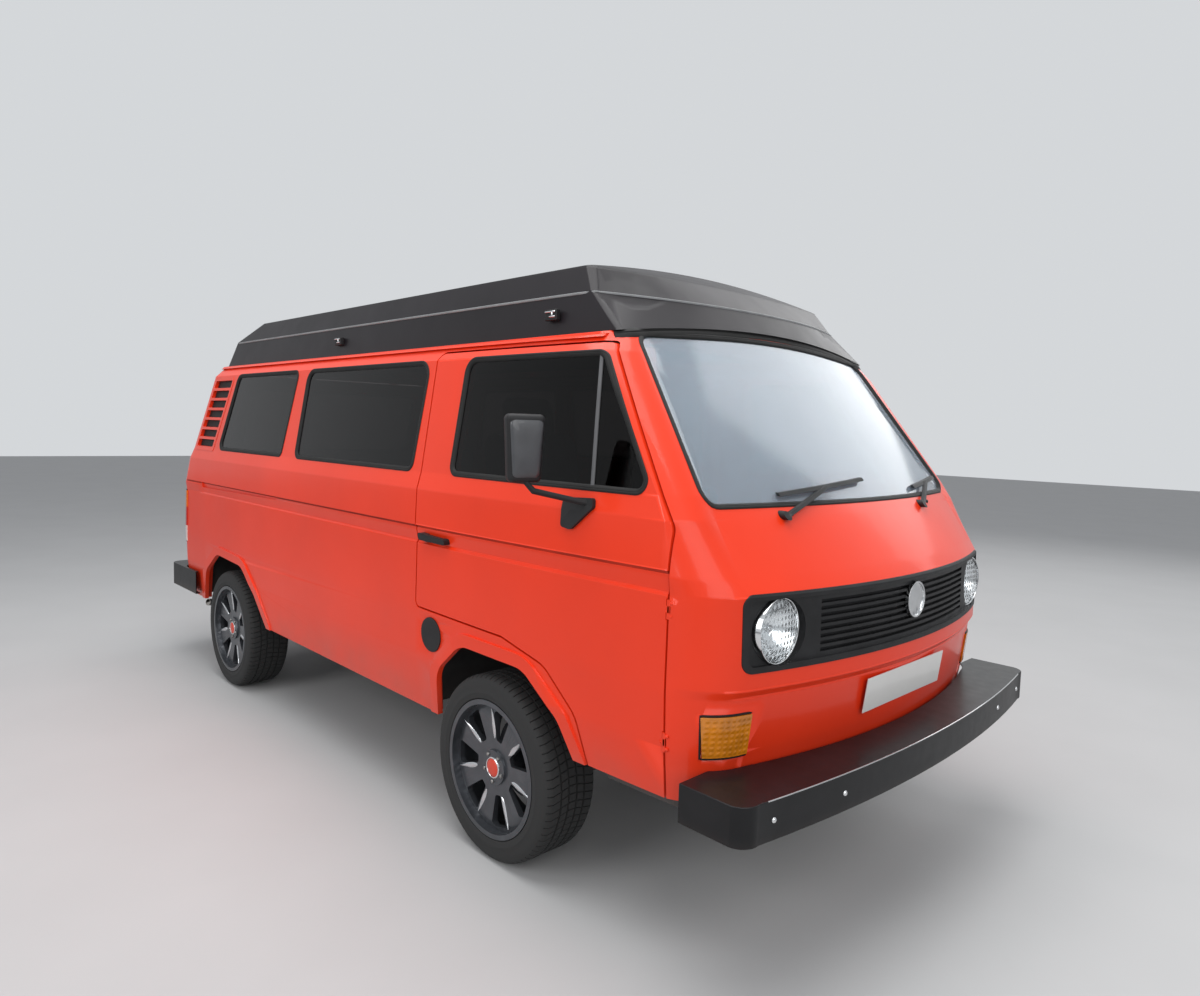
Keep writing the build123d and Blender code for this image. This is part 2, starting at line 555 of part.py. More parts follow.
def bumper_form(size, inset):
    """Bumper plan carried up: crowned face, corner to the side, wrapped end; size is one row above."""
    face_x, crown, half, end_x, low, high = size
    corner_x = face_x - crown - 45.0
    side_y = bumper_side_y - inset
    points = [
        Vector(face_x - crown - inset, half - inset * 0.4), Vector(corner_x + 22 - inset, side_y - 9),
        Vector(corner_x, side_y), Vector(end_x, side_y),
    ]
    a, b, c, d = points
    a2, b2, c2, d2 = (Vector(p.X, -p.Y) for p in points)
    edges = [
        ThreePointArc(a2, Vector(face_x - inset, 0), a), ThreePointArc(a, b, c), Line(c, d), Line(d, d2),
        Line(d2, c2), ThreePointArc(c2, b2, a2),
    ]
    return extrude(Pos(0, 0, low + inset) * make_face(edges), amount=high - low - 2 * inset)


def bumper(size, turn):
    """Channel section bumper around one end of the body; turn is 0 for the front, 180 for the rear."""
    low, high = size[4], size[5]
    body = hull(-bumper_gap, 60.0)
    beam = Rot(0, 0, turn) * bumper_form(size, 0.0) - body
    beam -= Rot(0, 0, turn) * bumper_form(size, bumper_sheet)
    face_x, crown, half = size[:3]
    arm_x = face_x - crown * (bracket_y / half) ** 2 - 0.5 * bumper_sheet
    for y in (-bracket_y, bracket_y):
        arm = box(face_x - bracket_depth, arm_x, y - bracket_half, y + bracket_half, low + 20, high - 20)
        beam += Rot(0, 0, turn) * arm - hull(-0.3, 60.0)
    return beam


parts["bumpers"] = [bumper(FRONT_BUMPER, 0), bumper(REAR_BUMPER, 180)]

# Number plates
plate_size = (3.0, 520.0, 111.0)
front_plate_z, front_plate_lean = 707.0, 7.35
front_plate_x = 2153.2 + 2.1
rear_plate_z, rear_plate_x = 800.0, -2154.0
parts["number_plates"] = [
    Pos(front_plate_x, 0, front_plate_z) * Rot(0, front_plate_lean, 0) * Box(*plate_size),
    Pos(rear_plate_x, 0, rear_plate_z) * Box(*plate_size),
]

# Wipers: pivot, arm and blade on the skin line. Columns: pivot y, blade start y, blade end y
WIPERS = [(-490.0, -470.0, 10.0), (360.0, 380.0, 700.0)]
wiper_pivot_z = 1256.0
wiper_blade_z, wiper_rise, wiper_blade_width = 1308.0, 0.075, 11.0
wipers = []
for pivot_y, start_y, end_y in WIPERS:
    lift = (end_y - start_y) * wiper_rise
    blade = [
        (start_y, wiper_blade_z, 2), (end_y, wiper_blade_z + lift, 2),
        (end_y, wiper_blade_z + lift + wiper_blade_width, 2), (start_y, wiper_blade_z + wiper_blade_width, 2),
    ]
    middle = (start_y + end_y) / 2
    arm = [
        (pivot_y - 9, wiper_pivot_z, 3), (pivot_y + 9, wiper_pivot_z - 4, 3),
        (middle + 6, wiper_blade_z + lift / 2 + 4, 3), (middle - 6, wiper_blade_z + lift / 2 + 10, 3),
    ]
    wiper = skin_piece(front_prism(blade, *nose_space), -14.0, -2.5)
    wiper += skin_piece(front_prism(arm, *nose_space), -20.0, -9.0)
    pivot_line = [(x, pivot_y, wiper_pivot_z) for x in nose_space]
    wiper += skin_piece(rod(*pivot_line, 13.0), -22.0, -0.3)
    wipers.append(wiper)
parts["wipers"] = wipers

# Floor with wheel housings, bulkhead and the deck over the engine
floor_low, floor_high = 440.0, 470.0
deck_low, deck_high = 905.0, 925.0
bulkhead_x = -1150.0
housing_sheet = 6.0
housing_top_z = 790.0
# Columns: rear x, front x, inner half width
HOUSINGS = [(725.0, 1635.0, 505.0), (-1805.0, -745.0, wheel_well_inner_y)]
inner_form = hull(wall + seam, 20.0)
floor = box(bulkhead_x, 2080, *whole_width, floor_low, floor_high)
floor += box(bulkhead_x - housing_sheet, bulkhead_x, *whole_width, floor_low, deck_high)
floor += box(-2060, bulkhead_x, *whole_width, deck_low, deck_high)
wells = []
for rear_x, front_x, inner_y in HOUSINGS:
    for y_from, y_to in ((inner_y, 1100.0), (-1100.0, -inner_y)):
        sheet = housing_sheet
        reach = (y_from - sheet, y_to) if y_from > 0 else (y_from, y_to + sheet)
        floor += box(rear_x - sheet, front_x + sheet, *reach, floor_low, housing_top_z + sheet)
        wells.append(box(rear_x, front_x, y_from, y_to, 300, housing_top_z))
floor = (floor & inner_form) - (Part() + wells)
floor_split_x = -700.0
parts["floor_pan"] = [floor & box(floor_split_x, 2600, *whole_width, 300, 1000)]
parts["rear_deck"] = [floor & box(-2600, floor_split_x - seam, *whole_width, 300, 1000)]

# Engine as one plain block with its gearbox and bearer, and the exhaust behind it
engine_rear_x, engine_front_x, engine_half = -2040.0, -1480.0, 310.0
engine_low, engine_high = 330.0, 800.0
gearbox_half, gearbox_front_x = 150.0, -1180.0
engine = box(engine_rear_x, engine_front_x, -engine_half, engine_half, engine_low, engine_high)
engine += box(engine_front_x, gearbox_front_x, -gearbox_half, gearbox_half, 230, 410)
engine += box(engine_rear_x + 10, engine_rear_x + 50, *whole_width, 470, 510) & inner_form
parts["engine_block"] = [engine]
muffler_radius, muffler_half, pipe_radius = 70.0, 300.0, 20.0
muffler_x = engine_rear_x - muffler_radius - 0.3
PIPE = [(-2090.0, -290.0, 335.0), (-1900.0, -610.0, 335.0), (-1790.0, -870.0, 385.0)]
exhaust = rod((muffler_x, -muffler_half, 340), (muffler_x, muffler_half, 340), muffler_radius)
for start, end in zip(PIPE, PIPE[1:]):
    exhaust += rod(start, end, pipe_radius)
exhaust += Pos(*PIPE[1]) * Sphere(pipe_radius)
exhaust -= rod(PIPE[2], (PIPE[2][0] - 25.4, PIPE[2][1] + 60, PIPE[2][2] - 11.5), pipe_radius - 3)
parts["exhaust"] = [exhaust]

# Front suspension and the steered knuckles
beam_half = 470.0
arm_half_x = 38.0
lower_arm = (205.0, 225.0)
upper_arm = (404.0, 426.0)
eye_radius = 28.0
knuckle_gap = 1.0
knuckle_size = (60.0, 36.0)
spindle_reach = 50.0
front_beam = box(front_axle_x - 50, front_axle_x + 50, -beam_half, beam_half, lower_arm[0], floor_low - 0.3)
for low, high in (lower_arm, upper_arm):
    for s in (-1, 1):
        y_from, y_to = sorted((s * (beam_half - 5), s * kingpin_y))
        eye_low, eye_high = ((front_axle_x, s * kingpin_y, z) for z in (low, high))
        front_beam += box(front_axle_x - arm_half_x, front_axle_x + arm_half_x, y_from, y_to, low, high)
        front_beam += rod(eye_low, eye_high, arm_half_x)
for s in (-1, 1):
    front_beam -= rod((front_axle_x, s * kingpin_y, lower_arm[0] - 1),
                      (front_axle_x, s * kingpin_y, upper_arm[1] + 1), kingpin_radius + steering_clearance)
parts["front_suspension"] = [front_beam]
knuckle = Pos(front_axle_x, -kingpin_y, (lower_arm[1] + upper_arm[0]) / 2) * Box(
    *knuckle_size, upper_arm[0] - lower_arm[1] - 2 * knuckle_gap)
kingpin_ends = [(front_axle_x, -kingpin_y, z) for z in (lower_arm[0], upper_arm[1])]
spindle_ends = [(front_axle_x, y, hub_z) for y in (-kingpin_y, -wheel_y - spindle_reach)]
knuckle += rod(*kingpin_ends, kingpin_radius) + rod(*spindle_ends, spindle_radius)
parts["knuckle_right"] = [knuckle]
parts["knuckle_left"] = [mirrored(knuckle)]

# Rear suspension: beam under the floor, trailing arms, carriers, stub axles and drive shafts
rear_beam_x, rear_beam_half = -900.0, 540.0
carrier_y = (640.0, 690.0)
carrier_radius, trailing_radius, shaft_radius = 55.0, 24.0, 14.0
rear_frame = box(rear_beam_x - 30, rear_beam_x + 30, -rear_beam_half, rear_beam_half, 380, floor_low - 0.3)
for s in (-1, 1):
    rear_frame += rod((rear_beam_x, s * 500, 400), (rear_axle_x, s * 650, hub_z), trailing_radius)
    carrier_in = (rear_axle_x, s * carrier_y[0], hub_z)
    carrier_out = (rear_axle_x, s * carrier_y[1], hub_z)
    rear_frame += rod(carrier_in, carrier_out, carrier_radius)
    rear_frame += rod(carrier_in, (rear_axle_x, s * (wheel_y + spindle_reach), hub_z), spindle_radius)
    rear_frame += rod((rear_axle_x, s * (gearbox_half + 0.3), hub_z), carrier_in, shaft_radius)
parts["rear_suspension"] = [rear_frame]

# Wheels, drawn about the Y axis. Tyre columns: radius, half width
bead_radius = rim_radius + bead_clearance
bead_half = rim_width / 2 - bead_clearance
TYRE = [
    (bead_radius, bead_half), (rim_radius + rim_flange + 2.4, bead_half), (241.5, 107.0),
    (270.0, tyre_width / 2), (300.0, 106.0), (tyre_radius - 4.0, tyre_width / 2 - 18.0),
    (tyre_radius, tyre_width / 2 - tyre_shoulder),
]
# Rim columns: radius, distance from the middle plane towards the outside
RIM = [
    (rim_radius, -rim_width / 2), (rim_radius + rim_flange, -rim_width / 2),
    (rim_radius + rim_flange, -106.0), (rim_radius - rim_barrel, -106.0), (rim_radius - rim_barrel, 106.0),
    (rim_radius + rim_flange, 106.0), (rim_radius + rim_flange, rim_width / 2), (rim_radius, rim_width / 2),
]
spoke_face, spoke_back, spoke_dish = 86.0, 62.0, 10.0
centre_radius = 68.0
disc_radius = 140.0
disc_w = (-57.0, -45.0)
WHEEL_WINDOW = [(96.0, -14.0, 9.0), (202.0, -46.0, 16.0), (202.0, 46.0, 16.0), (96.0, 14.0, 9.0)]


def turned(rows):
    """Ring about the Y axis from closed rows of radius and y."""
    face = make_face(Polyline(*[(r, w) for r, w in rows], close=True))
    return revolve(face, axis=Axis.Y)


tyre = turned(TYRE + [(r, -w) for r, w in TYRE[::-1]])
rim = turned(RIM)
hub = [
    (spindle_radius + spindle_fit, -70.0), (centre_radius, -70.0), (centre_radius, spoke_back),
    (rim_radius - rim_barrel + 1, spoke_back), (rim_radius - rim_barrel + 1, spoke_face - spoke_dish),
    (190.0, spoke_face), (80.0, spoke_face - spoke_dish), (62.0, spoke_face - spoke_dish),
    (60.0, spoke_face - 2), (spindle_radius + spindle_fit, spoke_face - 2),
]
disc = [
    (centre_radius - 4, disc_w[0]), (disc_radius, disc_w[0]), (disc_radius, disc_w[1]),
    (centre_radius - 4, disc_w[1]),
]
centre = turned(hub)
window = Plane(origin=(0, 130, 0), x_dir=(1, 0, 0), z_dir=(0, -1, 0)) * outline(WHEEL_WINDOW)
window = extrude(window, amount=130.0 - spoke_back + 1)
centre -= Part() + [Rot(0, 360.0 / spoke_count * i, 0) * window for i in range(spoke_count)]
rim = rim + centre + turned(disc)
for end, axle_x in (("front", front_axle_x), ("rear", rear_axle_x)):
    for side_name, s in (("left", 1), ("right", -1)):
        place = Pos(axle_x, s * wheel_y, hub_z) * Rot(0, 0, 0 if s > 0 else 180)
        parts[f"tyre_{end}_{side_name}"] = [place * tyre]
        parts[f"rim_{end}_{side_name}"] = [place * rim]

# Cab: two seats on pedestals, the dashboard and the steering wheel
seat_x, seat_low, seat_high = (780.0, 1260.0), housing_top_z + housing_sheet + 0.3, 930.0
seat_y = (150.0, 650.0)
pedestal_y = (175.0, 492.0)
seat_round = 28.0
seat_back_lean = -12.0
cushion = box(*seat_x, -seat_y[1], -seat_y[0], seat_low, seat_high)
cushion = fillet(cushion.edges().filter_by(Axis.Z), seat_round)
seat = cushion + box(800, 1240, -pedestal_y[1], -pedestal_y[0], floor_high + 0.3, seat_low + 1)
backrest = fillet(Box(95, 480, 560).edges(), seat_round)
seat += Pos(742, -400, 1190) * Rot(0, seat_back_lean, 0) * backrest
headrest = fillet(Box(80, 260, 170).edges(), seat_round)
seat += Pos(672, -400, 1530) * Rot(0, seat_back_lean, 0) * headrest
parts["front_seats"] = [seat, mirrored(seat)]
DASH = [(1560.0, 985.0, 12.0), (1592.0, 985.0, 12.0), (1592.0, 1205.0, 12.0), (2200.0, 1205.0, 1.0),
        (2200.0, 1236.0, 1.0), (1612.0, 1236.0, 30.0), (1560.0, 1196.0, 30.0)]
dash_half = 780.0
parts["dashboard"] = [side_prism(DASH, -dash_half, dash_half) & inner_form]
steering_centre = (1440.0, -400.0, 1180.0)
steering_tilt = -36.87
steering_radius, steering_grip = 188.0, 13.0
steering = Torus(steering_radius, steering_grip) + Pos(0, 0, -12) * Cylinder(42.0, 44.0)
steering += Pos(0, 0, -105) * Cylinder(24.0, 190.0)
for i in range(3):
    steering += Rot(0, 0, 120.0 * i) * box(0, steering_radius, -14, 14, -6, 4)
steering = Pos(*steering_centre) * Rot(0, steering_tilt, 0) * steering
steering -= box(DASH[0][0] - 0.3, 1800, -600, -200, 900, 1150)
parts["steering_wheel"] = [steering]

# Living space: kitchen unit along the right wall, bench and mattress over the engine deck
unit_x, unit_y, unit_high = (-700.0, 300.0), (-846.0, -430.0), 1205.0
unit = box(*unit_x, *unit_y, floor_high + 0.3, unit_high)
unit += box(unit_x[0] - 5, unit_x[1] + 5, unit_y[0], unit_y[1] + 12, unit_high, unit_high + 25)
unit -= box(-40, 240, -800, -500, unit_high - 60, unit_high + 30)
for x in (-450.0, -200.0, 50.0):
    unit -= box(x - 2, x + 2, unit_y[1] - 6, unit_y[1] + 1, 520, unit_high - 30)
parts["kitchen_unit"] = [unit]
bench_y = (-400.0, 548.0)
bench = box(-1140, -640, *bench_y, floor_high + 0.3, 820)
bench_pad = fillet(box(-1140, -620, *bench_y, 820, 935).edges().filter_by(Axis.Y), seat_round)
bench_back = fillet(box(-1145, -1050, *bench_y, 930, 1330).edges().filter_by(Axis.Y), seat_round)
parts["rear_bench"] = [bench + bench_pad + bench_back]
mattress = box(-2000, -1160, -790, 790, deck_high + 0.3, deck_high + 85)
parts["mattress"] = [fillet(mattress.edges().filter_by(Axis.Z), 40.0)]

for name, pieces in parts.items():
    solids = [s for piece in pieces for s in piece.solids()]
    print(name, len(pieces), len(solids), [round(s.volume / 1e6, 3) for s in solids])
    export_step(Compound(children=solids) if len(solids) > 1 else solids[0], f"parts/{name}.step")
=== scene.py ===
"""Looks for a camper van with a rising roof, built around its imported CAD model.

Metres, +X forward, +Y to the van's left, +Z up, the ground at Z = 0. Panels keep the CAD shapes, as
merged copies with softened edges. Rubber, lamps, tyres, wheels and cushions are surfaces worked out
as whole arrays and laid on the CAD skins. Small turned and swept profiles are given in millimetres.
"""

import json
import logging
import math
from collections.abc import Callable, Sequence
from dataclasses import dataclass
from enum import Enum

import bmesh
import bpy
import numpy as np
from mathutils import Matrix, Vector
from mathutils.bvhtree import BVHTree

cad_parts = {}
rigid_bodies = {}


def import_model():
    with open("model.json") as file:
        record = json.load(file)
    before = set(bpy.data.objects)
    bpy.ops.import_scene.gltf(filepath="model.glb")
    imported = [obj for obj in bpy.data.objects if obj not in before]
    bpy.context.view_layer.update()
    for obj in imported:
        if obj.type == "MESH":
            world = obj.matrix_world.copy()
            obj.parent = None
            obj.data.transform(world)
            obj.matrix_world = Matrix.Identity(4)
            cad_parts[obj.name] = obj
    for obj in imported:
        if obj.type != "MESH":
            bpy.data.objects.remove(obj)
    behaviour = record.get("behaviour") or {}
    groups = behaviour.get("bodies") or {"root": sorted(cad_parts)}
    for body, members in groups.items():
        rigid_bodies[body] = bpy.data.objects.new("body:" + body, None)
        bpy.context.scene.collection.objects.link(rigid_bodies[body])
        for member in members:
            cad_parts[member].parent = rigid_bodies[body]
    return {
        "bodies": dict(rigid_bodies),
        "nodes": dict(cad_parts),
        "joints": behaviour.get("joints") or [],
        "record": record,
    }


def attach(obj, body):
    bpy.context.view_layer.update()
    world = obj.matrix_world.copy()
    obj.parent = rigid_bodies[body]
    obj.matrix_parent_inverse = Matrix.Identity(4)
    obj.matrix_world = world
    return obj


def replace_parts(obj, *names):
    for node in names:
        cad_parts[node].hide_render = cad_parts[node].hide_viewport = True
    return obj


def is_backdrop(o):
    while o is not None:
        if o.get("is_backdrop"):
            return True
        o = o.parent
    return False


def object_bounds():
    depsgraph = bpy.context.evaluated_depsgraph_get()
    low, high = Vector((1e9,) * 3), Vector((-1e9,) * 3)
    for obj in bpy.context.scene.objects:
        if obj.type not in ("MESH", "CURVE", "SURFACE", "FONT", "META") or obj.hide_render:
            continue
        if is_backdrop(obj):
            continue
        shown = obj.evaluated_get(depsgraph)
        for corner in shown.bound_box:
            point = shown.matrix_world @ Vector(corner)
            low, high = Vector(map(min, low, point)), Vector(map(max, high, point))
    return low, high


log = logging.getLogger("camper")

Triple = tuple[float, float, float]
Corner = tuple[float, float, float]
Colour = tuple[float, float, float]
Pair = tuple[float, float]
Socket = bpy.types.NodeSocket
Pressing = Callable[[np.ndarray, np.ndarray], np.ndarray]
MM = 0.001
QUARTER_TURN = math.pi / 2


class Side(Enum):
    """The two sides of the van, by the sign of Y."""

    LEFT = 1
    RIGHT = -1


class View(Enum):
    """Where a flat outline is seen from: the axis it is seen along and the place its rays start at."""

    RIGHT = (1, -1.3)
    LEFT = (1, 1.3)
    FRONT = (0, 3.0)
    REAR = (0, -3.0)


# Finishes


def add_node(
    tree: bpy.types.NodeTree, kind: str, inputs: dict[str | int, object], output: str | int = 0, **settings: object
) -> Socket:
    """Adds a shader node.

    Args:
        tree: The nodes that it joins.
        kind: Its type, without the common beginning.
        inputs: Its inputs, by name or number: a socket is linked and a value is set.
        output: The output that is wanted.
        settings: The node's own settings.

    Returns:
        The output socket.
    """
    node = tree.nodes.new(f"ShaderNode{kind}")
    for name, value in settings.items():
        setattr(node, name, value)
    for name, value in inputs.items():
        if isinstance(value, bpy.types.NodeSocket):
            tree.links.new(value, node.inputs[name])
        else:
            node.inputs[name].default_value = value
    return node.outputs[output]


class Nodes:
    """One material's nodes. Noise, waves and bands follow the object's own coordinates in metres."""

    bump_depth = 0.6 * MM

    def __init__(self, tree: bpy.types.NodeTree) -> None:
        """Takes the nodes of a new material.

        Args:
            tree: The nodes, with the surface shader among them.
        """
        self.tree = tree
        self.shader = tree.nodes["Principled BSDF"]
        self.where = add_node(tree, "TexCoord", {}, "Object")

    def feed(self, name: str, value: object) -> None:
        """Gives the surface shader one of its inputs.

        Args:
            name: The input.
            value: A value to set, or a socket to link.
        """
        if isinstance(value, bpy.types.NodeSocket):
            self.tree.links.new(value, self.shader.inputs[name])
        else:
            self.shader.inputs[name].default_value = value

    def noise(self, scale: float, detail: float) -> Socket:
        """Noise from 0 to 1, with a scale in features per metre and some octaves of detail."""
        return add_node(self.tree, "TexNoise", {"Scale": scale, "Detail": detail, "Vector": self.where}, "Fac")

    def wave(self, axis: str, scale: float, distortion: float = 0.0, detail: float = 2.0) -> Socket:
        """Waves from 0 to 1 along an axis."""
        inputs = {"Scale": scale, "Distortion": distortion, "Detail": detail, "Vector": self.where}
        return add_node(self.tree, "TexWave", inputs, "Fac", bands_direction=axis)

    def band(self, full: float, none: float) -> Socket:
        """A smooth ramp along the object's height.

        Args:
            full: The height where it is 1.
            none: The height where it is 0.

        Returns:
            The ramp's value.
        """
        height = add_node(self.tree, "SeparateXYZ", {0: self.where}, "Z")
        inputs = {"From Min": full, "From Max": none, "To Min": 1.0, "To Max": 0.0, "Value": height}
        return add_node(self.tree, "MapRange", inputs, "Result", interpolation_type="SMOOTHSTEP")

    def times(self, first: Socket, second: Socket | float) -> Socket:
        """The product of two values."""
        return add_node(self.tree, "Math", {0: first, 1: second}, operation="MULTIPLY")

    def over(self, factor: Socket, base: Socket, top: Colour) -> Socket:
        """One colour laid over another by a factor."""
        return add_node(self.tree, "Mix", {0: factor, 6: base, 7: (*top, 1.0)}, 2, data_type="RGBA")

    def bump(self, height: Socket, strength: float, depth: float = bump_depth) -> None:
        """Feeds a height into the shader's normal."""
        inputs = {"Strength": strength, "Distance": depth, "Height": height}
        self.feed("Normal", add_node(self.tree, "Bump", inputs, "Normal"))


@dataclass(frozen=True)
class Finish:
    """A surface finish with patchy tone and a fine grain.

    Numbers that are the same all over sit on the shader's own sockets.
    """

    name: str
    slot: str
    colour: Colour
    roughness: float
    metallic: float = 0.0
    coat: float = 0.0
    coat_roughness: float = 0.04
    tone: float = 0.08
    tone_scale: float = 4.0
    wear_scale: float = 2.7
    grain: float = 0.0
    grain_scale: float = 500.0
    rough_swing: float = 0.06
    transmission: float = 0.0
    ior: float = 1.5
    sheen: float = 0.0

    def material(self) -> bpy.types.Material:
        """Builds the material once.

        Returns:
            The material of this finish.
        """
        found = bpy.data.materials.get(self.name)
        if found is not None:
            return found
        material = bpy.data.materials.new(self.name)
        material.use_nodes = True
        nodes = Nodes(material.node_tree)
        for name, value in (
            ("Metallic", self.metallic), ("IOR", self.ior), ("Coat Weight", self.coat),
            ("Coat Roughness", self.coat_roughness), ("Transmission Weight", self.transmission),
            ("Sheen Weight", self.sheen), ("Roughness", self.roughness), ("Base Color", (*self.colour, 1.0)),
        ):
            nodes.feed(name, value)
        nodes.feed("Base Color", self.marked(nodes, self.toned(nodes)))
        if self.rough_swing > 0.0:
            inputs = {"To Min": max(self.roughness - self.rough_swing, 0.0),
                      "To Max": min(self.roughness + self.rough_swing, 1.0),
                      "Value": nodes.noise(self.tone_scale * self.wear_scale, 4.0)}
            nodes.feed("Roughness", add_node(nodes.tree, "MapRange", inputs, "Result"))
        self.textured(nodes)
        return material

    def toned(self, nodes: Nodes) -> Socket:
        """Soft patches of a lighter and a darker tone.

        Args:
            nodes: The material's nodes.

        Returns:
            The colour socket.
        """
        ramp = add_node(nodes.tree, "ValToRGB", {"Fac": nodes.noise(self.tone_scale, 5.0)}, "Color")
        for stop, at, share in zip(ramp.node.color_ramp.elements, (0.3, 0.7), (1.0 - self.tone, 1.0 + self.tone)):
            stop.position = at
            stop.color = (*(min(c * share, 1.0) for c in self.colour), 1.0)
        return ramp

    def marked(self, nodes: Nodes, colour: Socket) -> Socket:
        """Where a finish lays marks over its tone; a plain one has none."""
        return colour

    def textured(self, nodes: Nodes) -> None:
        """Fine bumps over the whole surface."""
        if self.grain > 0.0:
            nodes.bump(nodes.noise(self.grain_scale, 3.0), self.grain)


@dataclass(frozen=True)
class PaintFinish(Finish):
    """Sprayed paint under clear coat, with a slight orange peel and road film low down."""

    dirt: Colour = (0.16, 0.12, 0.10)
    dirt_full: float = 0.40
    dirt_top: float = 0.66
    dirt_amount: float = 0.42

    def marked(self, nodes: Nodes, colour: Socket) -> Socket:
        """Road film that fades upwards, broken by noise."""
        film = nodes.times(nodes.band(self.dirt_full, self.dirt_top), nodes.noise(7.0, 8.0))
        return nodes.over(nodes.times(film, self.dirt_amount), colour, self.dirt)


@dataclass(frozen=True)
class RubberFinish(Finish):
    """Rubber with pale dust in patches."""

    dust: Colour = (0.13, 0.125, 0.12)
    dust_amount: float = 0.45

    def marked(self, nodes: Nodes, colour: Socket) -> Socket:
        """Dust over the rubber."""
        return nodes.over(nodes.times(nodes.noise(16.0, 9.0), self.dust_amount), colour, self.dust)


@dataclass(frozen=True)
class WaveFinish(Finish):
    """A surface with crossed waves: pillows moulded into a lens, or the yarns of a cloth."""

    axes: str = "YZ"
    pitch: float = 12.0 * MM
    strength: float = 0.5
    depth: float = 3.0 * MM
    wobble: float = 0.0

    def textured(self, nodes: Nodes) -> None:
        """Bumps that are the product of one wave along each axis.

        Args:
            nodes: The material's nodes.
        """
        total = None
        for axis in self.axes:
            wave = nodes.wave(axis, 1.0 / (self.pitch * 2 * math.pi), self.wobble)
            total = wave if total is None else nodes.times(total, wave)
        nodes.bump(total, self.strength, self.depth)


@dataclass(frozen=True)
class TailLensFinish(WaveFinish):
    """Tail lamp lens in three tiers: amber above, red in the middle, clear below."""

    amber: Colour = (0.80, 0.20, 0.01)
    clear: Colour = (0.75, 0.72, 0.70)
    amber_from: float = 0.945
    clear_to: float = 0.83
    blur: float = 2.0 * MM

    def marked(self, nodes: Nodes, colour: Socket) -> Socket:
        """The amber and the clear tier over the red."""
        above = nodes.over(nodes.band(self.amber_from + self.blur, self.amber_from), colour, self.amber)
        return nodes.over(nodes.band(self.clear_to, self.clear_to + self.blur), above, self.clear)


@dataclass(frozen=True)
class WoodFinish(Finish):
    """Veneer with long wavy grain."""

    dark: Colour = (0.22, 0.14, 0.08)

    def marked(self, nodes: Nodes, colour: Socket) -> Socket:
        """Dark grain lines over the wood."""
        return nodes.over(nodes.times(nodes.wave("Z", 12.0, 9.0, 3.0), 0.5), colour, self.dark)


PAINT = PaintFinish("paint_orange", "body_paint", (0.80, 0.038, 0.007), 0.40, coat=0.34, coat_roughness=0.13,
                    tone=0.05, tone_scale=2.0, grain=0.05, grain_scale=160.0, rough_swing=0.05, ior=1.30)
# Painted shade: a darker paint for the groove's upper wall, standing in for the shadow under its overhang.
PAINTED_CREASE_SHADE = PaintFinish("paint_crease", "body_paint", (0.30, 0.016, 0.005), 0.6, tone=0.2, tone_scale=9.0,
                          rough_swing=0.05, ior=1.25)
BLACK_PAINT = PaintFinish("roof_black", "black_paint", (0.010, 0.008, 0.010), 0.46, coat=0.14, coat_roughness=0.16,
                          tone=0.25, tone_scale=3.0, grain=0.06, grain_scale=140.0, dirt_top=0.41, ior=1.28)
BUMPER_BLACK = PaintFinish("bumper_black", "black_steel", (0.007, 0.007, 0.008), 0.44, coat=0.12,
                           coat_roughness=0.18, tone=0.3, tone_scale=9.0, grain=0.10, grain_scale=300.0,
                           dirt_top=0.50, ior=1.30)
DARK_STEEL = PaintFinish("underseal", "steel", (0.03, 0.03, 0.03), 0.62, tone=0.3, tone_scale=10.0, grain=0.5,
                         grain_scale=220.0, dirt_top=0.60)
BLACK_PLASTIC = Finish("trim_black", "black_plastic", (0.014, 0.014, 0.015), 0.52, tone=0.25, tone_scale=12.0,
                       grain=0.25, grain_scale=900.0, ior=1.35)
GREY_PLASTIC = Finish("dash_grey", "grey_plastic", (0.10, 0.10, 0.105), 0.6, tone=0.12, tone_scale=9.0, grain=0.35,
                      grain_scale=1200.0)
MIRROR_COVER = Finish("mirror_cover", "black_plastic", (0.050, 0.052, 0.057), 0.36, coat=0.3, tone=0.12,
                      tone_scale=20.0, grain=0.15, grain_scale=900.0)
PLATE_WHITE = Finish("plate_white", "white_plastic", (0.72, 0.71, 0.69), 0.28, coat=0.3, tone=0.01, tone_scale=15.0,
                     rough_swing=0.0)
SEAL_RUBBER = RubberFinish("seal_rubber", "tyre_rubber", (0.006, 0.006, 0.006), 0.6, tone=0.2, tone_scale=20.0,
                           grain=0.15, grain_scale=700.0, dust_amount=0.08, ior=1.35)
SEAM_RUBBER = RubberFinish("seam_rubber", "tyre_rubber", (0.20, 0.205, 0.21), 0.5, tone=0.15, tone_scale=20.0,
                           grain=0.1, grain_scale=700.0, dust_amount=0.1)
TYRE_RUBBER = RubberFinish("tyre_rubber", "tyre_rubber", (0.022, 0.022, 0.022), 0.78, tone=0.2, tone_scale=14.0,
                           grain=0.3, grain_scale=500.0)
AMBER = WaveFinish("lens_amber", "amber_plastic", (0.66, 0.21, 0.004), 0.18, coat=0.5, tone=0.22, tone_scale=22.0,
                   transmission=0.10, pitch=8.0 * MM)
RED_LENS = TailLensFinish("lens_tail", "red_plastic", (0.50, 0.010, 0.008), 0.16, coat=0.6, tone=0.1,
                          tone_scale=30.0, transmission=0.15)
CLEAR_LENS = WaveFinish("lens_clear", "lamp_glass", (0.93, 0.95, 0.96), 0.03, tone=0.02, tone_scale=20.0,
                        rough_swing=0.02, transmission=1.0, pitch=9.0 * MM)
DARK_GLASS = Finish("glass_tinted", "tinted_glass", (0.055, 0.048, 0.048), 0.02, tone=0.06, tone_scale=2.0,
                    rough_swing=0.015, transmission=1.0, ior=1.26)
SCREEN_GLASS = Finish("glass_screen", "clear_glass", (0.56, 0.65, 0.74), 0.11, tone=0.05, tone_scale=2.0,
                      rough_swing=0.02, transmission=0.72, coat=0.25, coat_roughness=0.14, ior=1.42)
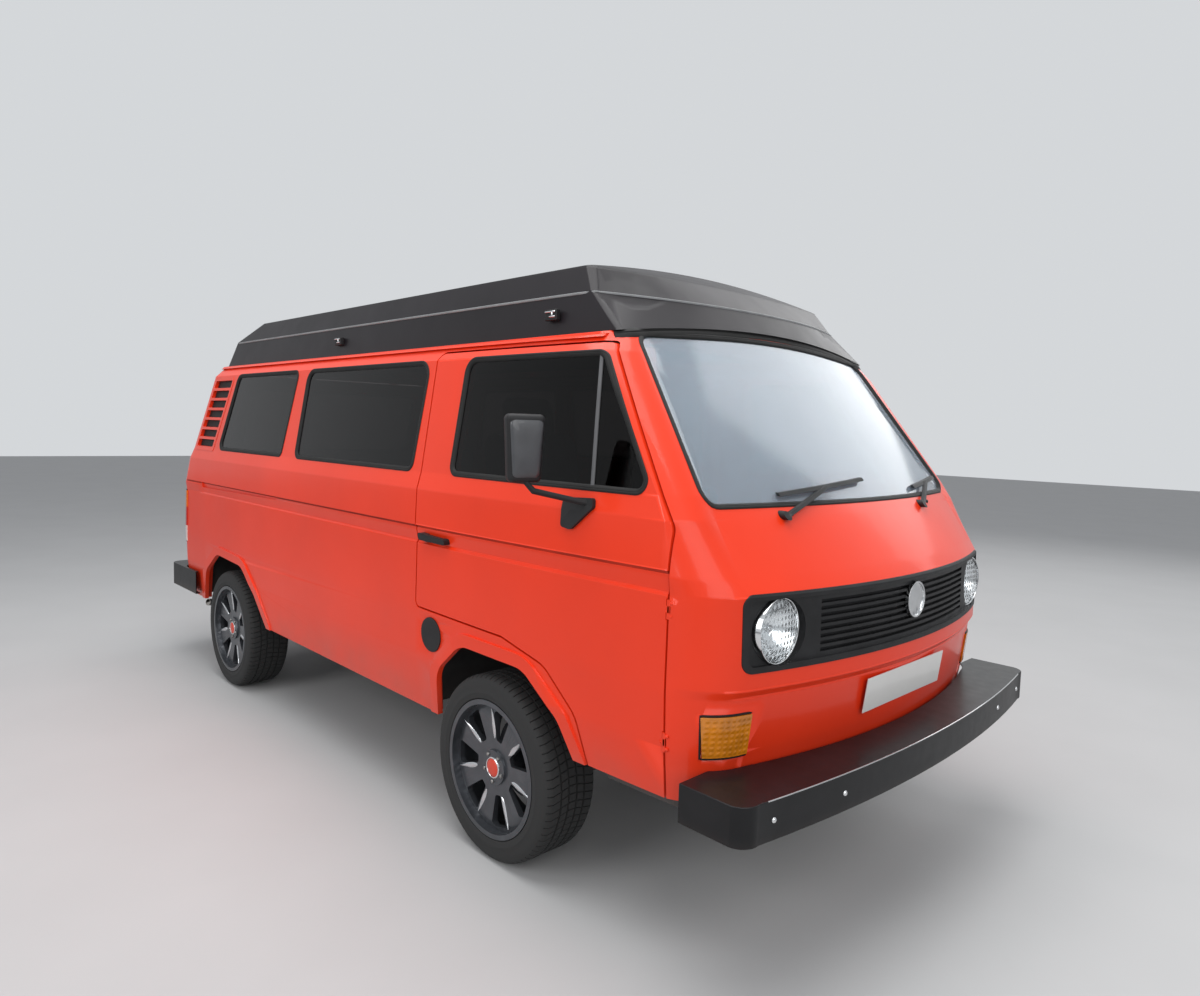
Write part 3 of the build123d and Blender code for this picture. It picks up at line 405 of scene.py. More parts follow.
CHROME = Finish("chrome_bright", "chrome", (0.72, 0.73, 0.74), 0.10, metallic=1.0, tone=0.06, tone_scale=30.0)
REFLECTOR = Finish("lamp_bowl", "chrome", (0.86, 0.87, 0.88), 0.14, metallic=1.0, tone=0.05, tone_scale=40.0)
MIRROR = Finish("mirror_glass", "chrome", (0.80, 0.82, 0.84), 0.02, metallic=1.0, tone=0.02, rough_swing=0.01)
GUNMETAL = Finish("alloy_gunmetal", "alloy", (0.075, 0.080, 0.090), 0.36, metallic=0.65, coat=0.3, tone=0.15,
                  tone_scale=18.0, grain=0.05, grain_scale=900.0)
POLISHED = Finish("alloy_polished", "alloy", (0.62, 0.63, 0.65), 0.20, metallic=1.0, coat=0.4, tone=0.08,
                  tone_scale=30.0, grain=0.04, grain_scale=1400.0)
DISC_STEEL = Finish("disc_steel", "exhaust_steel", (0.30, 0.29, 0.28), 0.35, metallic=1.0, tone=0.25,
                    tone_scale=30.0)
PIPE_STEEL = Finish("pipe_steel", "exhaust_steel", (0.34, 0.32, 0.30), 0.42, metallic=1.0, tone=0.35,
                    tone_scale=25.0, grain=0.2, grain_scale=400.0)
SEAT_CLOTH = WaveFinish("seat_cloth", "seat_fabric", (0.085, 0.085, 0.09), 0.9, tone=0.2, tone_scale=25.0,
                        sheen=0.3, axes="XYZ", pitch=1.6 * MM, strength=0.6, depth=1.2 * MM, wobble=0.6)
BED_CLOTH = WaveFinish("bed_cloth", "mattress_fabric", (0.26, 0.25, 0.23), 0.92, tone=0.15, tone_scale=18.0,
                       sheen=0.3, axes="XYZ", pitch=1.6 * MM, strength=0.6, depth=1.2 * MM, wobble=0.6)
VENEER = WoodFinish("veneer", "unit_wood", (0.42, 0.29, 0.17), 0.42, coat=0.3, tone=0.12, tone_scale=6.0)
FLOOR = Finish("floor_pale", "floor", (0.50, 0.50, 0.50), 0.75, tone=0.02, tone_scale=1.5)


# Surfaces as whole arrays


@dataclass
class Surface:
    """Points and faces of one piece while it is being worked out."""

    points: np.ndarray
    faces: list[list[int]]
    marks: np.ndarray | None = None

    @staticmethod
    def grid(points: np.ndarray, wrap_rows: bool = False, wrap_cols: bool = False, cap: bool = False) -> "Surface":
        """A grid of points as a surface.

        Face (i, j) joins points (i, j), (i+1, j), (i+1, j+1) and (i, j+1), where the last row or
        column meets the first if the grid wraps.

        Args:
            points: Array of rows by columns by 3.
            wrap_rows: Whether rows close on themselves.
            wrap_cols: Whether columns close on themselves.
            cap: Whether the first and the last row are closed by a face each.

        Returns:
            The surface.
        """
        rows, cols = points.shape[:2]
        i = np.arange(rows if wrap_rows else rows - 1)[:, None]
        j = np.arange(cols if wrap_cols else cols - 1)[None, :]
        ni, nj = (i + 1) % rows, (j + 1) % cols
        corners = [i * cols + j, ni * cols + j, ni * cols + nj, i * cols + nj]
        faces = np.stack(corners, axis=-1).reshape(-1, 4).tolist()
        if cap:
            faces.append(list(range(cols)))
            faces.append(list(range((rows - 1) * cols, rows * cols))[::-1])
        return Surface(points.reshape(-1, 3), faces)

    @staticmethod
    def join(pieces: Sequence["Surface"]) -> "Surface":
        """Several surfaces as one mesh.

        Args:
            pieces: The surfaces; each keeps its own points.

        Returns:
            The joined surface.
        """
        starts = np.cumsum([0] + [len(p.points) for p in pieces])
        faces = [[v + int(s) for v in f] for p, s in zip(pieces, starts) for f in p.faces]
        marks = np.concatenate([p.marks if p.marks is not None else np.zeros(len(p.faces), int) for p in pieces])
        return Surface(np.concatenate([p.points for p in pieces]), faces, marks)

    @staticmethod
    def plate(front: np.ndarray, back: np.ndarray) -> "Surface":
        """A closed plate from a face of rings, middle first, and its back, in the same order."""
        return Surface.grid(np.concatenate([front, back[::-1]]), wrap_cols=True, cap=True)

    def turned(self, matrix: Matrix) -> "Surface":
        """The surface moved by a rigid matrix."""
        m = np.array(matrix)
        return Surface(self.points @ m[:3, :3].T + m[:3, 3], self.faces, self.marks)

    def around(self, count: int, first: float = 0.0) -> "Surface":
        """Copies spread evenly about the Y axis, the first one turned by some part of a step."""
        turns = [Matrix.Rotation(2 * math.pi * (k + first) / count, 4, "Y") for k in range(count)]
        return Surface.join([self.turned(turn) for turn in turns])

    def flipped(self) -> "Surface":
        """The surface mirrored in the plane Y = 0, with its faces turned to point outwards again."""
        return Surface(self.points * np.array([1.0, -1.0, 1.0]), [f[::-1] for f in self.faces], self.marks)


def make_piece(
    name: str, shape: Surface, finishes: Sequence[Finish], body: str = "shell", sharp: float = 35.0
) -> bpy.types.Object:
    """Makes a surface into an object, with outward faces, its finishes and its body.

    Args:
        name: The piece's name.
        shape: Points, faces and which finish each face takes.
        finishes: The finishes, by mark.
        body: The CAD body that it rides on.
        sharp: Edges that turn more than this many degrees stay sharp.

    Returns:
        The new object.
    """
    mesh = bpy.data.meshes.new(name)
    mesh.from_pydata(shape.points.tolist(), [], shape.faces)
    if shape.marks is not None:
        mesh.polygons.foreach_set("material_index", np.asarray(shape.marks, dtype=np.int32))
    bm = bmesh.new()
    bm.from_mesh(mesh)
    bmesh.ops.remove_doubles(bm, verts=bm.verts, dist=1e-6)
    bmesh.ops.recalc_face_normals(bm, faces=bm.faces)
    bm.to_mesh(mesh)
    bm.free()
    piece = add_object(name, mesh, finishes, sharp)
    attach(piece, body)
    log.info("%s: %d faces", name, len(mesh.polygons))
    return piece


def add_object(name: str, mesh: bpy.types.Mesh, finishes: Sequence[Finish], sharp: float) -> bpy.types.Object:
    """Gives a mesh smooth shading and its finishes, and puts it into the scene.

    Args:
        name: The object's name.
        mesh: Its mesh.
        finishes: Its finishes, by material number.
        sharp: Edges that turn more than this many degrees stay sharp.

    Returns:
        The new object.
    """
    mesh.polygons.foreach_set("use_smooth", np.ones(len(mesh.polygons), dtype=bool))
    mesh.set_sharp_from_angle(angle=math.radians(sharp))
    mesh.update()
    for finish in finishes:
        mesh.materials.append(finish.material())
    made = bpy.data.objects.new(name, mesh)
    bpy.context.scene.collection.objects.link(made)
    return made


class Model:
    """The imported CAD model: its nodes, its bodies and its skins."""

    bond_reach = 0.6 * MM
    weld_reach = 2e-6
    flat_degrees = 0.05

    def __init__(self) -> None:
        """Loads the frame and notes its box and which body carries each node."""
        self.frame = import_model()
        self.cad_box = [list(corner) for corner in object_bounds()]
        bodies = self.frame["record"]["behaviour"]["bodies"]
        self.body_of = {node: body for body, nodes in bodies.items() for node in nodes}

    def skin(self, *nodes: str) -> BVHTree:
        """The surfaces of some nodes, for finding points on them.

        Args:
            nodes: CAD node names.

        Returns:
            A search tree over their faces.
        """
        points: list[Vector] = []
        faces: list[list[int]] = []
        for node in nodes:
            mesh = self.frame["nodes"][node].data
            start = len(points)
            points += [v.co.copy() for v in mesh.vertices]
            faces += [[start + v for v in p.vertices] for p in mesh.polygons]
        return BVHTree.FromPolygons(points, faces)

    def dress(
        self, node: str, finish: Finish, bevel: float = 0.0, sharp: float = 24.0,
        cuts: tuple[tuple[int, float], ...] = (), pressed: Pressing | None = None, bonded: float | None = None,
    ) -> bpy.types.Object:
        """A merged copy of a CAD node with smooth shading, soft edges and a finish, in the node's place.

        Args:
            node: The CAD node.
            finish: Its finish.
            bevel: Width of the rounds in metres, or 0 for none.
            sharp: Edges that turn more than this many degrees stay sharp.
            cuts: Planes that get a row of edges, as the axis (0 to 2) and the place along it.
            pressed: How its points move, from their places and normals.
            bonded: Place along X where two mouldings of the node meet and become one.

        Returns:
            The copy.
        """
        bm = bmesh.new()
        bm.from_mesh(self.frame["nodes"][node].data)
        bmesh.ops.remove_doubles(bm, verts=bm.verts, dist=self.weld_reach)
        if bonded is not None:
            near = [v for v in bm.verts if abs(v.co.x - bonded) < self.bond_reach]
            touching = set(near)
            inner = [f for f in bm.faces if touching.issuperset(f.verts)]
            bmesh.ops.delete(bm, geom=inner, context="FACES_ONLY")
            bmesh.ops.remove_doubles(bm, verts=[v for v in near if v.is_valid], dist=self.bond_reach)
        bmesh.ops.dissolve_limit(bm, angle_limit=math.radians(self.flat_degrees), verts=bm.verts, edges=bm.edges,
                                 use_dissolve_boundaries=False)
        for axis, at in cuts:
            normal = Vector((float(axis == 0), float(axis == 1), float(axis == 2)))
            bmesh.ops.bisect_plane(bm, geom=[*bm.verts, *bm.edges, *bm.faces], dist=1e-6, plane_co=normal * at,
                                   plane_no=normal)
        mesh = bpy.data.meshes.new(f"skin_{node}")
        bm.to_mesh(mesh)
        bm.free()
        if pressed is not None:
            points, facing = np.empty(len(mesh.vertices) * 3), np.empty(len(mesh.vertices) * 3)
            mesh.vertices.foreach_get("co", points)
            mesh.vertex_normals.foreach_get("vector", facing)
            mesh.vertices.foreach_set("co", pressed(points.reshape(-1, 3), facing.reshape(-1, 3)).ravel())
            mesh.update()
        mesh.materials.clear()
        copy = add_object(f"skin_{node}", mesh, [finish], sharp)
        if bevel > 0.0:
            soft = copy.modifiers.new("soft_edge", "BEVEL")
            soft.width = bevel
            soft.segments = 2
            soft.limit_method = "ANGLE"
            soft.angle_limit = math.radians(sharp)
            soft.harden_normals = True
            soft.use_clamp_overlap = True
        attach(copy, self.body_of[node])
        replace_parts(copy, node)
        log.info("%s: %d faces", node, len(mesh.polygons))
        return copy


def rounded_outline(
    corners: Sequence[Corner], grow: float = 0.0, step: float = 0.03, turn_points: int = 8
) -> np.ndarray:
    """Points round a closed outline whose corners are arcs.

    Each corner is moved out by grow along both of its sides, then cut by an arc of its radius
    that touches both sides; long sides get points a step apart.

    Args:
        corners: Corners as (across, up, radius).
        grow: How far the outline moves outwards.
        step: Spacing on straight runs.
        turn_points: Points on each arc.

    Returns:
        Array of points, anticlockwise, two numbers each.
    """
    rows = np.array(corners, float)
    following = np.roll(rows, -1, axis=0)
    if np.sum(rows[:, 0] * following[:, 1] - following[:, 0] * rows[:, 1]) < 0:
        rows = rows[::-1]
    here = rows[:, :2]
    arrive = here - np.roll(here, 1, axis=0)
    arrive /= np.linalg.norm(arrive, axis=1)[:, None]
    leave = np.roll(arrive, -1, axis=0)
    out = np.stack([arrive[:, 1], -arrive[:, 0]], 1)
    out_next = np.roll(out, -1, axis=0)
    corner = here + (out + out_next) * (grow / (1 + np.sum(out * out_next, axis=1)))[:, None]
    bend = np.where(arrive[:, 0] * leave[:, 1] - arrive[:, 1] * leave[:, 0] > 0, 1.0, -1.0)
    radius = np.maximum(rows[:, 2] + bend * grow, 1.0 * MM)
    turn = np.arccos(np.clip(np.sum(arrive * leave, axis=1), -1, 1))
    start = corner - arrive * (radius * np.tan(turn / 2))[:, None]
    centre = start - out * (bend * radius)[:, None]
    parts = []
    for k in range(len(rows)):
        first = math.atan2(*(start[k] - centre[k])[::-1])
        angles = first + turn[k] * bend[k] * np.linspace(0, 1, turn_points)
        arc = centre[k] + radius[k] * np.stack([np.cos(angles), np.sin(angles)], 1)
        run = start[(k + 1) % len(rows)] - arc[-1]
        count = max(int(np.linalg.norm(run) / step), 1)
        parts += [arc, arc[-1] + run * (np.arange(1, count)[:, None] / count)]
    return np.concatenate(parts)


def trapezoid(low: Pair, high: Pair, radii: Pair) -> list[Corner]:
    """An upright trapezoid about the middle line.

    Args:
        low: Half width and height of its lower side.
        high: Half width and height of its upper side.
        radii: Radius of the lower and of the upper corners.

    Returns:
        Its corners, as (across, up, radius).
    """
    return [(-low[0], low[1], radii[0]), (low[0], low[1], radii[0]), (high[0], high[1], radii[1]),
            (-high[0], high[1], radii[1])]


def cast(tree: BVHTree, starts: np.ndarray, ways: np.ndarray) -> tuple[np.ndarray, np.ndarray]:
    """Sends rays at a skin and keeps those that meet it.

    Args:
        tree: The skin.
        starts: Where each ray starts.
        ways: Where each ray points.

    Returns:
        Points on the skin and its normals there.
    """
    found = [tree.ray_cast(Vector(start), Vector(way))[:2] for start, way in zip(starts, ways)]
    found = [(point, normal) for point, normal in found if point is not None]
    return np.array([point for point, _ in found]), np.array([normal for _, normal in found])


def cast_outline(tree: BVHTree, flat: np.ndarray, view: View) -> tuple[np.ndarray, np.ndarray]:
    """Sends the points of a flat outline straight at the body.

    From the side the outline holds (x, z), and from the front or rear (y, z).

    Args:
        tree: The skin.
        flat: Points of the outline.
        view: Where the outline is seen from.

    Returns:
        Points on the skin and its normals there.
    """
    axis, away = view.value
    starts = np.insert(flat, axis, away, axis=1)
    ways = np.zeros_like(starts)
    ways[:, axis] = -math.copysign(1.0, away)
    return cast(tree, starts, ways)


def drop_on_skin(tree: BVHTree, flat: np.ndarray, view: View) -> tuple[np.ndarray, np.ndarray]:
    """Carries a flat outline onto a skin, with normals that are smoothed along it.

    Args:
        tree: The skin.
        flat: Points of the outline.
        view: Where the outline is seen from.

    Returns:
        Points on the skin and the smoothed normals.
    """
    found, facing = cast_outline(tree, flat, view)
    for _ in range(3):
        facing = (np.roll(facing, 1, axis=0) + 2 * facing + np.roll(facing, -1, axis=0)) / 4
    return found, facing / np.linalg.norm(facing, axis=1)[:, None]


def swept(path: np.ndarray, up: np.ndarray, profile: Sequence[Pair], closed: bool = True) -> Surface:
    """A closed profile in millimetres carried along a path.

    At each path point the frame is the direction of travel, the given up direction, and the
    direction across, which is their cross product. A profile point (a, h) becomes the path point
    plus a times across plus h times up.

    Args:
        path: Points, three numbers each.
        up: Up direction at each point, or one for all.
        profile: Profile points (across, up), in order round a closed loop.
        closed: Whether the path closes on itself.

    Returns:
        The swept surface, capped if the path is open.
    """
    ahead = np.roll(path, -1, axis=0) - np.roll(path, 1, axis=0)
    if not closed:
        ahead[0], ahead[-1] = path[1] - path[0], path[-1] - path[-2]
    ahead /= np.linalg.norm(ahead, axis=1)[:, None]
    up = np.broadcast_to(up, path.shape)
    across = np.cross(ahead, up)
    across /= np.linalg.norm(across, axis=1)[:, None]
    rows = np.array(profile) * MM
    grid = path[:, None] + across[:, None] * rows[None, :, 0, None] + up[:, None] * rows[None, :, 1, None]
    return Surface.grid(grid, wrap_rows=closed, wrap_cols=True, cap=not closed)


def bead(half: float, shoulder: float, flat_half: float, top: float, foot: float) -> list[Pair]:
    """A low bead's profile: straight sides, then slopes up to a flat top.

    Args:
        half: Half its width.
        shoulder: How high its sides reach.
        flat_half: Half the width of its top.
        top: The top's height.
        foot: Where its sides start.

    Returns:
        Its points, as (across, up).
    """
    rise = [(half, foot), (half, shoulder), (flat_half, top)]
    return rise + [(-across, up) for across, up in rise[::-1]]


def spun(rows: Sequence[Pair] | np.ndarray, count: int, loop: bool = False) -> Surface:
    """A run of (radius, y) in millimetres turned about the Y axis.

    Point (i, j) is (r_j cos t_i, y_j, r_j sin t_i), with t_i evenly round the circle. A run with
    both ends on the axis gives a closed body, and a loop gives a ring.

    Args:
        rows: Points of radius and y.
        count: Steps round the circle.
        loop: Whether the run closes on itself.

    Returns:
        The turned body.
    """
    turn = np.arange(count)[:, None] * (2 * math.pi / count)
    r, y = (np.array(rows) * MM).T[:, None, :]
    grid = np.stack([r * np.cos(turn), y + 0 * turn, r * np.sin(turn)], axis=-1)
    return Surface.grid(grid, wrap_rows=True, wrap_cols=loop)


def place(origin: Sequence[float], y_to: Sequence[float]) -> Matrix:
    """A rigid matrix that moves the origin to a place and points Y along a direction."""
    spin = Vector((0, 1, 0)).rotation_difference(Vector(y_to).normalized())
    return Matrix.Translation(Vector(origin)) @ spin.to_matrix().to_4x4()


# Sub-assemblies


@dataclass
class Panels:
    """CAD panels that keep their form and get crisp folds, soft edges, a side groove with painted shade on its upper
    wall, and a finish.
    """

    model: Model
    edge_round: float = 1.6 * MM
    roof_round: float = 3.0 * MM
    trim_round: float = 1.0 * MM
    roof_sharp: float = 50.0
    painted: tuple[str, ...] = ("front_panel", "rear_panel", "tailgate", "roof_rim", "louvres")
    grooved: tuple[str, ...] = ("side_right", "side_left", "sliding_door", "door_right", "door_left")
    under: tuple[str, ...] = (
        "floor_pan", "rear_deck", "front_suspension", "rear_suspension", "knuckle_right", "knuckle_left",
        "engine_block",
    )
    plain: tuple[tuple[str, Finish, float], ...] = (
        ("exhaust", PIPE_STEEL, 0.0), ("bumpers", BUMPER_BLACK, 3.0), ("grille", BLACK_PLASTIC, 1.0),
        ("wipers", BLACK_PLASTIC, 1.0), ("fuel_cap", BLACK_PLASTIC, 1.0), ("roof_catches", BLACK_PLASTIC, 1.0),
        ("badge", CHROME, 0.8), ("number_plates", PLATE_WHITE, 0.6), ("indicators", AMBER, 1.2),
        ("tail_lamps", RED_LENS, 1.2), ("kitchen_unit", VENEER, 1.0), ("dashboard", GREY_PLASTIC, 2.0),
        ("steering_wheel", BLACK_PLASTIC, 0.0),
    )
    folds: tuple[float, ...] = (0.620, 0.775, 0.800, 1.054, 1.098, 1.250, 1.314, 1.732)
    fold_half: float = 5.0 * MM
    groove: tuple[Pair, ...] = (
        (1.044, 0.0), (1.049, 0.0), (1.056, 6.0), (1.061, 6.5), (1.102, 7.5), (1.107, 7.5), (1.116, 0.0),
        (1.121, 0.0),
    )
    groove_out: float = 0.9295
    facing_out: float = 0.3
    groove_rear: tuple[float, ...] = (-1.80, -1.77, -1.73, -1.70)
    crease: Pair = (1.1069, 1.1166)
    crease_out: float = 0.85
    lid_folds: tuple[float, ...] = (1.944, 2.020, 2.036)
    lid_joint: float = -1.430
    hinge_at: Pair = (1.8935, 0.8795)
    hinge_heights: Pair = (0.640, 1.010)
    hinge_reach: Triple = (11.5 * MM, 7.5 * MM, 30.0 * MM)
    mirror_middle: Pair = (1.495, 1.072)
    mirror_from: Pair = (1.01, 1.330)
    mirror_height: float = 0.200
    mirror_cuts: tuple[float, ...] = (1.36, 1.43, 1.49)
    mirror_taper: float = 0.16
    mirror_power: float = 0.8
    mirror_wider: float = 1.12
    mirror_turns: Pair = (8.0, -18.0)
    handle_below: float = 1.12
    handle_seat: float = 8.0 * MM

    def flush_hinges(self, points: np.ndarray, facing: np.ndarray) -> np.ndarray:
        """Brings the door hinges' barrels down to the skin.

        Args:
            points: The points.
            facing: Their normals; not used.

        Returns:
            The moved points.
        """
        x, flush = self.hinge_at
        along, proud, rise = self.hinge_reach
        near = np.abs(points[:, 0] - x) < along
        level = np.abs(points[:, 2:] - np.array(self.hinge_heights)).min(axis=1) < rise
        barrel = near & level & (np.abs(points[:, 1]) > flush - proud)
        moved = points.copy()
        moved[:, 1] = np.where(barrel, np.clip(points[:, 1], -flush, flush), points[:, 1])
        return moved

    def side_groove(self, points: np.ndarray, facing: np.ndarray) -> np.ndarray:
        """Presses the groove into the outer skin of a side.

        A point that faces outwards moves inwards by the groove's depth at its height, which is read
        between the groove's rows, times a smooth step that fades it out towards the rear.

        Args:
            points: The points.
            facing: Their normals.

        Returns:
            The moved points.
        """
        rows = np.array(self.groove)
        side = np.sign(points[:, 1])
        depth = np.interp(points[:, 2], rows[:, 0], rows[:, 1]) * MM
        low, high = self.groove_rear[0], self.groove_rear[-1]
        t = np.clip((points[:, 0] - low) / (high - low), 0, 1)
        outer = (facing[:, 1] * side > self.facing_out) & (np.abs(points[:, 1]) < self.groove_out)
        moved = points.copy()
        moved[:, 1] -= side * depth * t * t * (3 - 2 * t) * outer
        return self.flush_hinges(moved, facing)

    def mirror_form(self, points: np.ndarray, facing: np.ndarray) -> np.ndarray:
        """Turns and widens the mirror's housing, narrows it downwards, and seats the pull handle.

        Seen along its own faces, the housing closes in on its upright middle line by the taper times
        a power of how far down a point lies; it then turns from its first angle to its second.
        Inward-facing points of the handle move in by the groove's depth.

        Args:
            points: The points.
            facing: Their normals.

        Returns:
            The moved points.
        """
        side = np.sign(points[:, 1])
        middle = np.stack([np.full(len(points), self.mirror_middle[0]), side * self.mirror_middle[1]], 1)
        out, low = self.mirror_from
        down = np.clip(1.0 - (points[:, 2] - low) / self.mirror_height, 0, 1)
        head = (np.abs(points[:, 1]) > out) & (points[:, 2] > low)
        keep = np.where(head, 1.0 - self.mirror_taper * down ** self.mirror_power, 1.0)
        first, last = (-side * math.radians(turn) for turn in self.mirror_turns)
        off = points[:, :2] - middle
        deep = (off[:, 0] * np.cos(first) + off[:, 1] * np.sin(first)) * keep
        wide = (off[:, 1] * np.cos(first) - off[:, 0] * np.sin(first)) * keep * self.mirror_wider
        turned = np.stack([deep * np.cos(last) - wide * np.sin(last), deep * np.sin(last) + wide * np.cos(last)], 1)
        moved = points.copy()
        moved[:, :2] = np.where(head[:, None], middle + turned, points[:, :2])
        foot = (points[:, 2] < self.handle_below) & (facing[:, 1] * side < -self.facing_out)
        moved[:, 1] -= side * self.handle_seat * foot
        return moved

    def grimed(self, piece: bpy.types.Object) -> None:
        """Gives the groove's upper wall darker paint: painted shade for the shadow under the groove's overhang.

        Args:
            piece: A dressed side or door.
        """
        mesh = piece.data
        # Painted shade: outward faces of the groove's upper wall, within the crease's heights, take the darker paint.
        mesh.materials.append(PAINTED_CREASE_SHADE.material())
        low, high = self.crease
        for face in mesh.polygons:
            heights = [mesh.vertices[v].co.z for v in face.vertices]
            outside = abs(face.center.y) > self.crease_out and face.normal.y * face.center.y > 0.0
            if outside and min(heights) > low and max(heights) < high:
                face.material_index = 1

    def build(self) -> None:
        """Dresses the painted panels, the underbody and the small trim."""
        folds = tuple((2, z + way * self.fold_half) for z in self.folds for way in (-1, 1))
        side_cuts = tuple((2, z) for z, _ in self.groove) + tuple((0, x) for x in self.groove_rear)
        for node in self.painted:
            pressed = self.flush_hinges if node == "front_panel" else None
            self.model.dress(node, PAINT, self.edge_round, cuts=folds, pressed=pressed)
        for node in self.grooved:
            self.grimed(self.model.dress(node, PAINT, self.edge_round, cuts=folds + side_cuts,
                                         pressed=self.side_groove))
        for node in self.under:
            self.model.dress(node, DARK_STEEL, self.edge_round)
        for node, finish, width in self.plain:
            self.model.dress(node, finish, width * MM)
        for side in Side:
            self.model.dress(f"door_{side.name.lower()}_mirror_and_handle", BLACK_PLASTIC, self.trim_round,
                             cuts=tuple((2, z) for z in self.mirror_cuts), pressed=self.mirror_form)
        tray = self.model.dress("roof_tray", BLACK_PAINT, self.roof_round, sharp=self.roof_sharp)
        lid = self.model.dress("roof_lid", BLACK_PAINT, self.roof_round, sharp=self.roof_sharp,
                               cuts=tuple((2, z) for z in self.lid_folds), bonded=self.lid_joint)
        for piece in (tray, lid):
            piece.modifiers.new("even_normals", "WEIGHTED_NORMAL").keep_sharp = True


@dataclass
class Glazing:
    """Glass, and the black rubber that holds it in the panels."""

    model: Model
    low: float = 1.3165
    high: float = 1.728
    path_out: float = 2.5 * MM
    profile: tuple[Pair, ...] = (
        (5.5, -0.3), (5.5, 1.2), (4.2, 2.5), (1.5, 3.5), (-1.2, 3.6), (-2.6, 3.0), (-3.4, 2.2), (-4.6, 2.9),
        (-8.0, 2.4), (-12.0, 0.2), (-14.5, -3.0), (-15.5, -6.2), (-2.7, -6.2), (-2.7, -0.3),
    )

    def seal(self, name: str, corners: Sequence[Corner], view: View, nodes: tuple[str, ...], body: str) -> None:
        """Lays one rubber seal round an opening, as the CAD cuts it.

        Args:
            name: The opening's name.
            corners: Its outline.
            view: Where the outline is seen from.
            nodes: The nodes around it.
            body: The body that the seal rides on.
        """
        flat = rounded_outline(corners, grow=self.path_out)
        if view in (View.LEFT, View.REAR):
            flat = flat[::-1]
        path, up = drop_on_skin(self.model.skin(*nodes), flat, view)
        make_piece(f"seal_{name}", swept(path, up, self.profile), [SEAL_RUBBER], body)

    def build(self) -> None:
        """Dresses the glass and seals its eight openings."""
        for node in ("door_right_glass", "door_left_glass", "side_windows", "tailgate_glass"):
            self.model.dress(node, DARK_GLASS)
        self.model.dress("windscreen", SCREEN_GLASS)
        low, high = self.low, self.high
        door = [(0.851, low, 0.035), (1.805, low, 0.032), (1.538, high, 0.045), (0.860, high, 0.050)]
        middle = [(-0.475, low, 0.035), (0.588, low, 0.035), (0.612, high, 0.060), (-0.462, high, 0.060)]
        rear = [(-1.502, low, 0.035), (-0.641, low, 0.030), (-0.572, high, 0.030), (-1.362, high, 0.055)]
        screen = trapezoid((0.761, 1.284), (0.671, 1.796), (0.045, 0.060))
        screen.insert(3, (0.0, 1.830, 7.0))
        tail = trapezoid((0.600, 1.290), (0.560, 1.680), (0.070, 0.080))
        for label, middle_node in (("right", "side_right"), ("left", "sliding_door")):
            view = View[label.upper()]
            self.seal(f"door_{label}", door, view, (f"door_{label}",), f"door_{label}_body")
            self.seal(f"middle_{label}", middle, view, (middle_node,), "shell")
            self.seal(f"rear_{label}", rear, view, (f"side_{label}",), "shell")
        self.seal("screen", screen, View.FRONT, ("front_panel", "roof_rim"), "shell")
        self.seal("tail", tail, View.REAR, ("tailgate",), "tailgate_body")


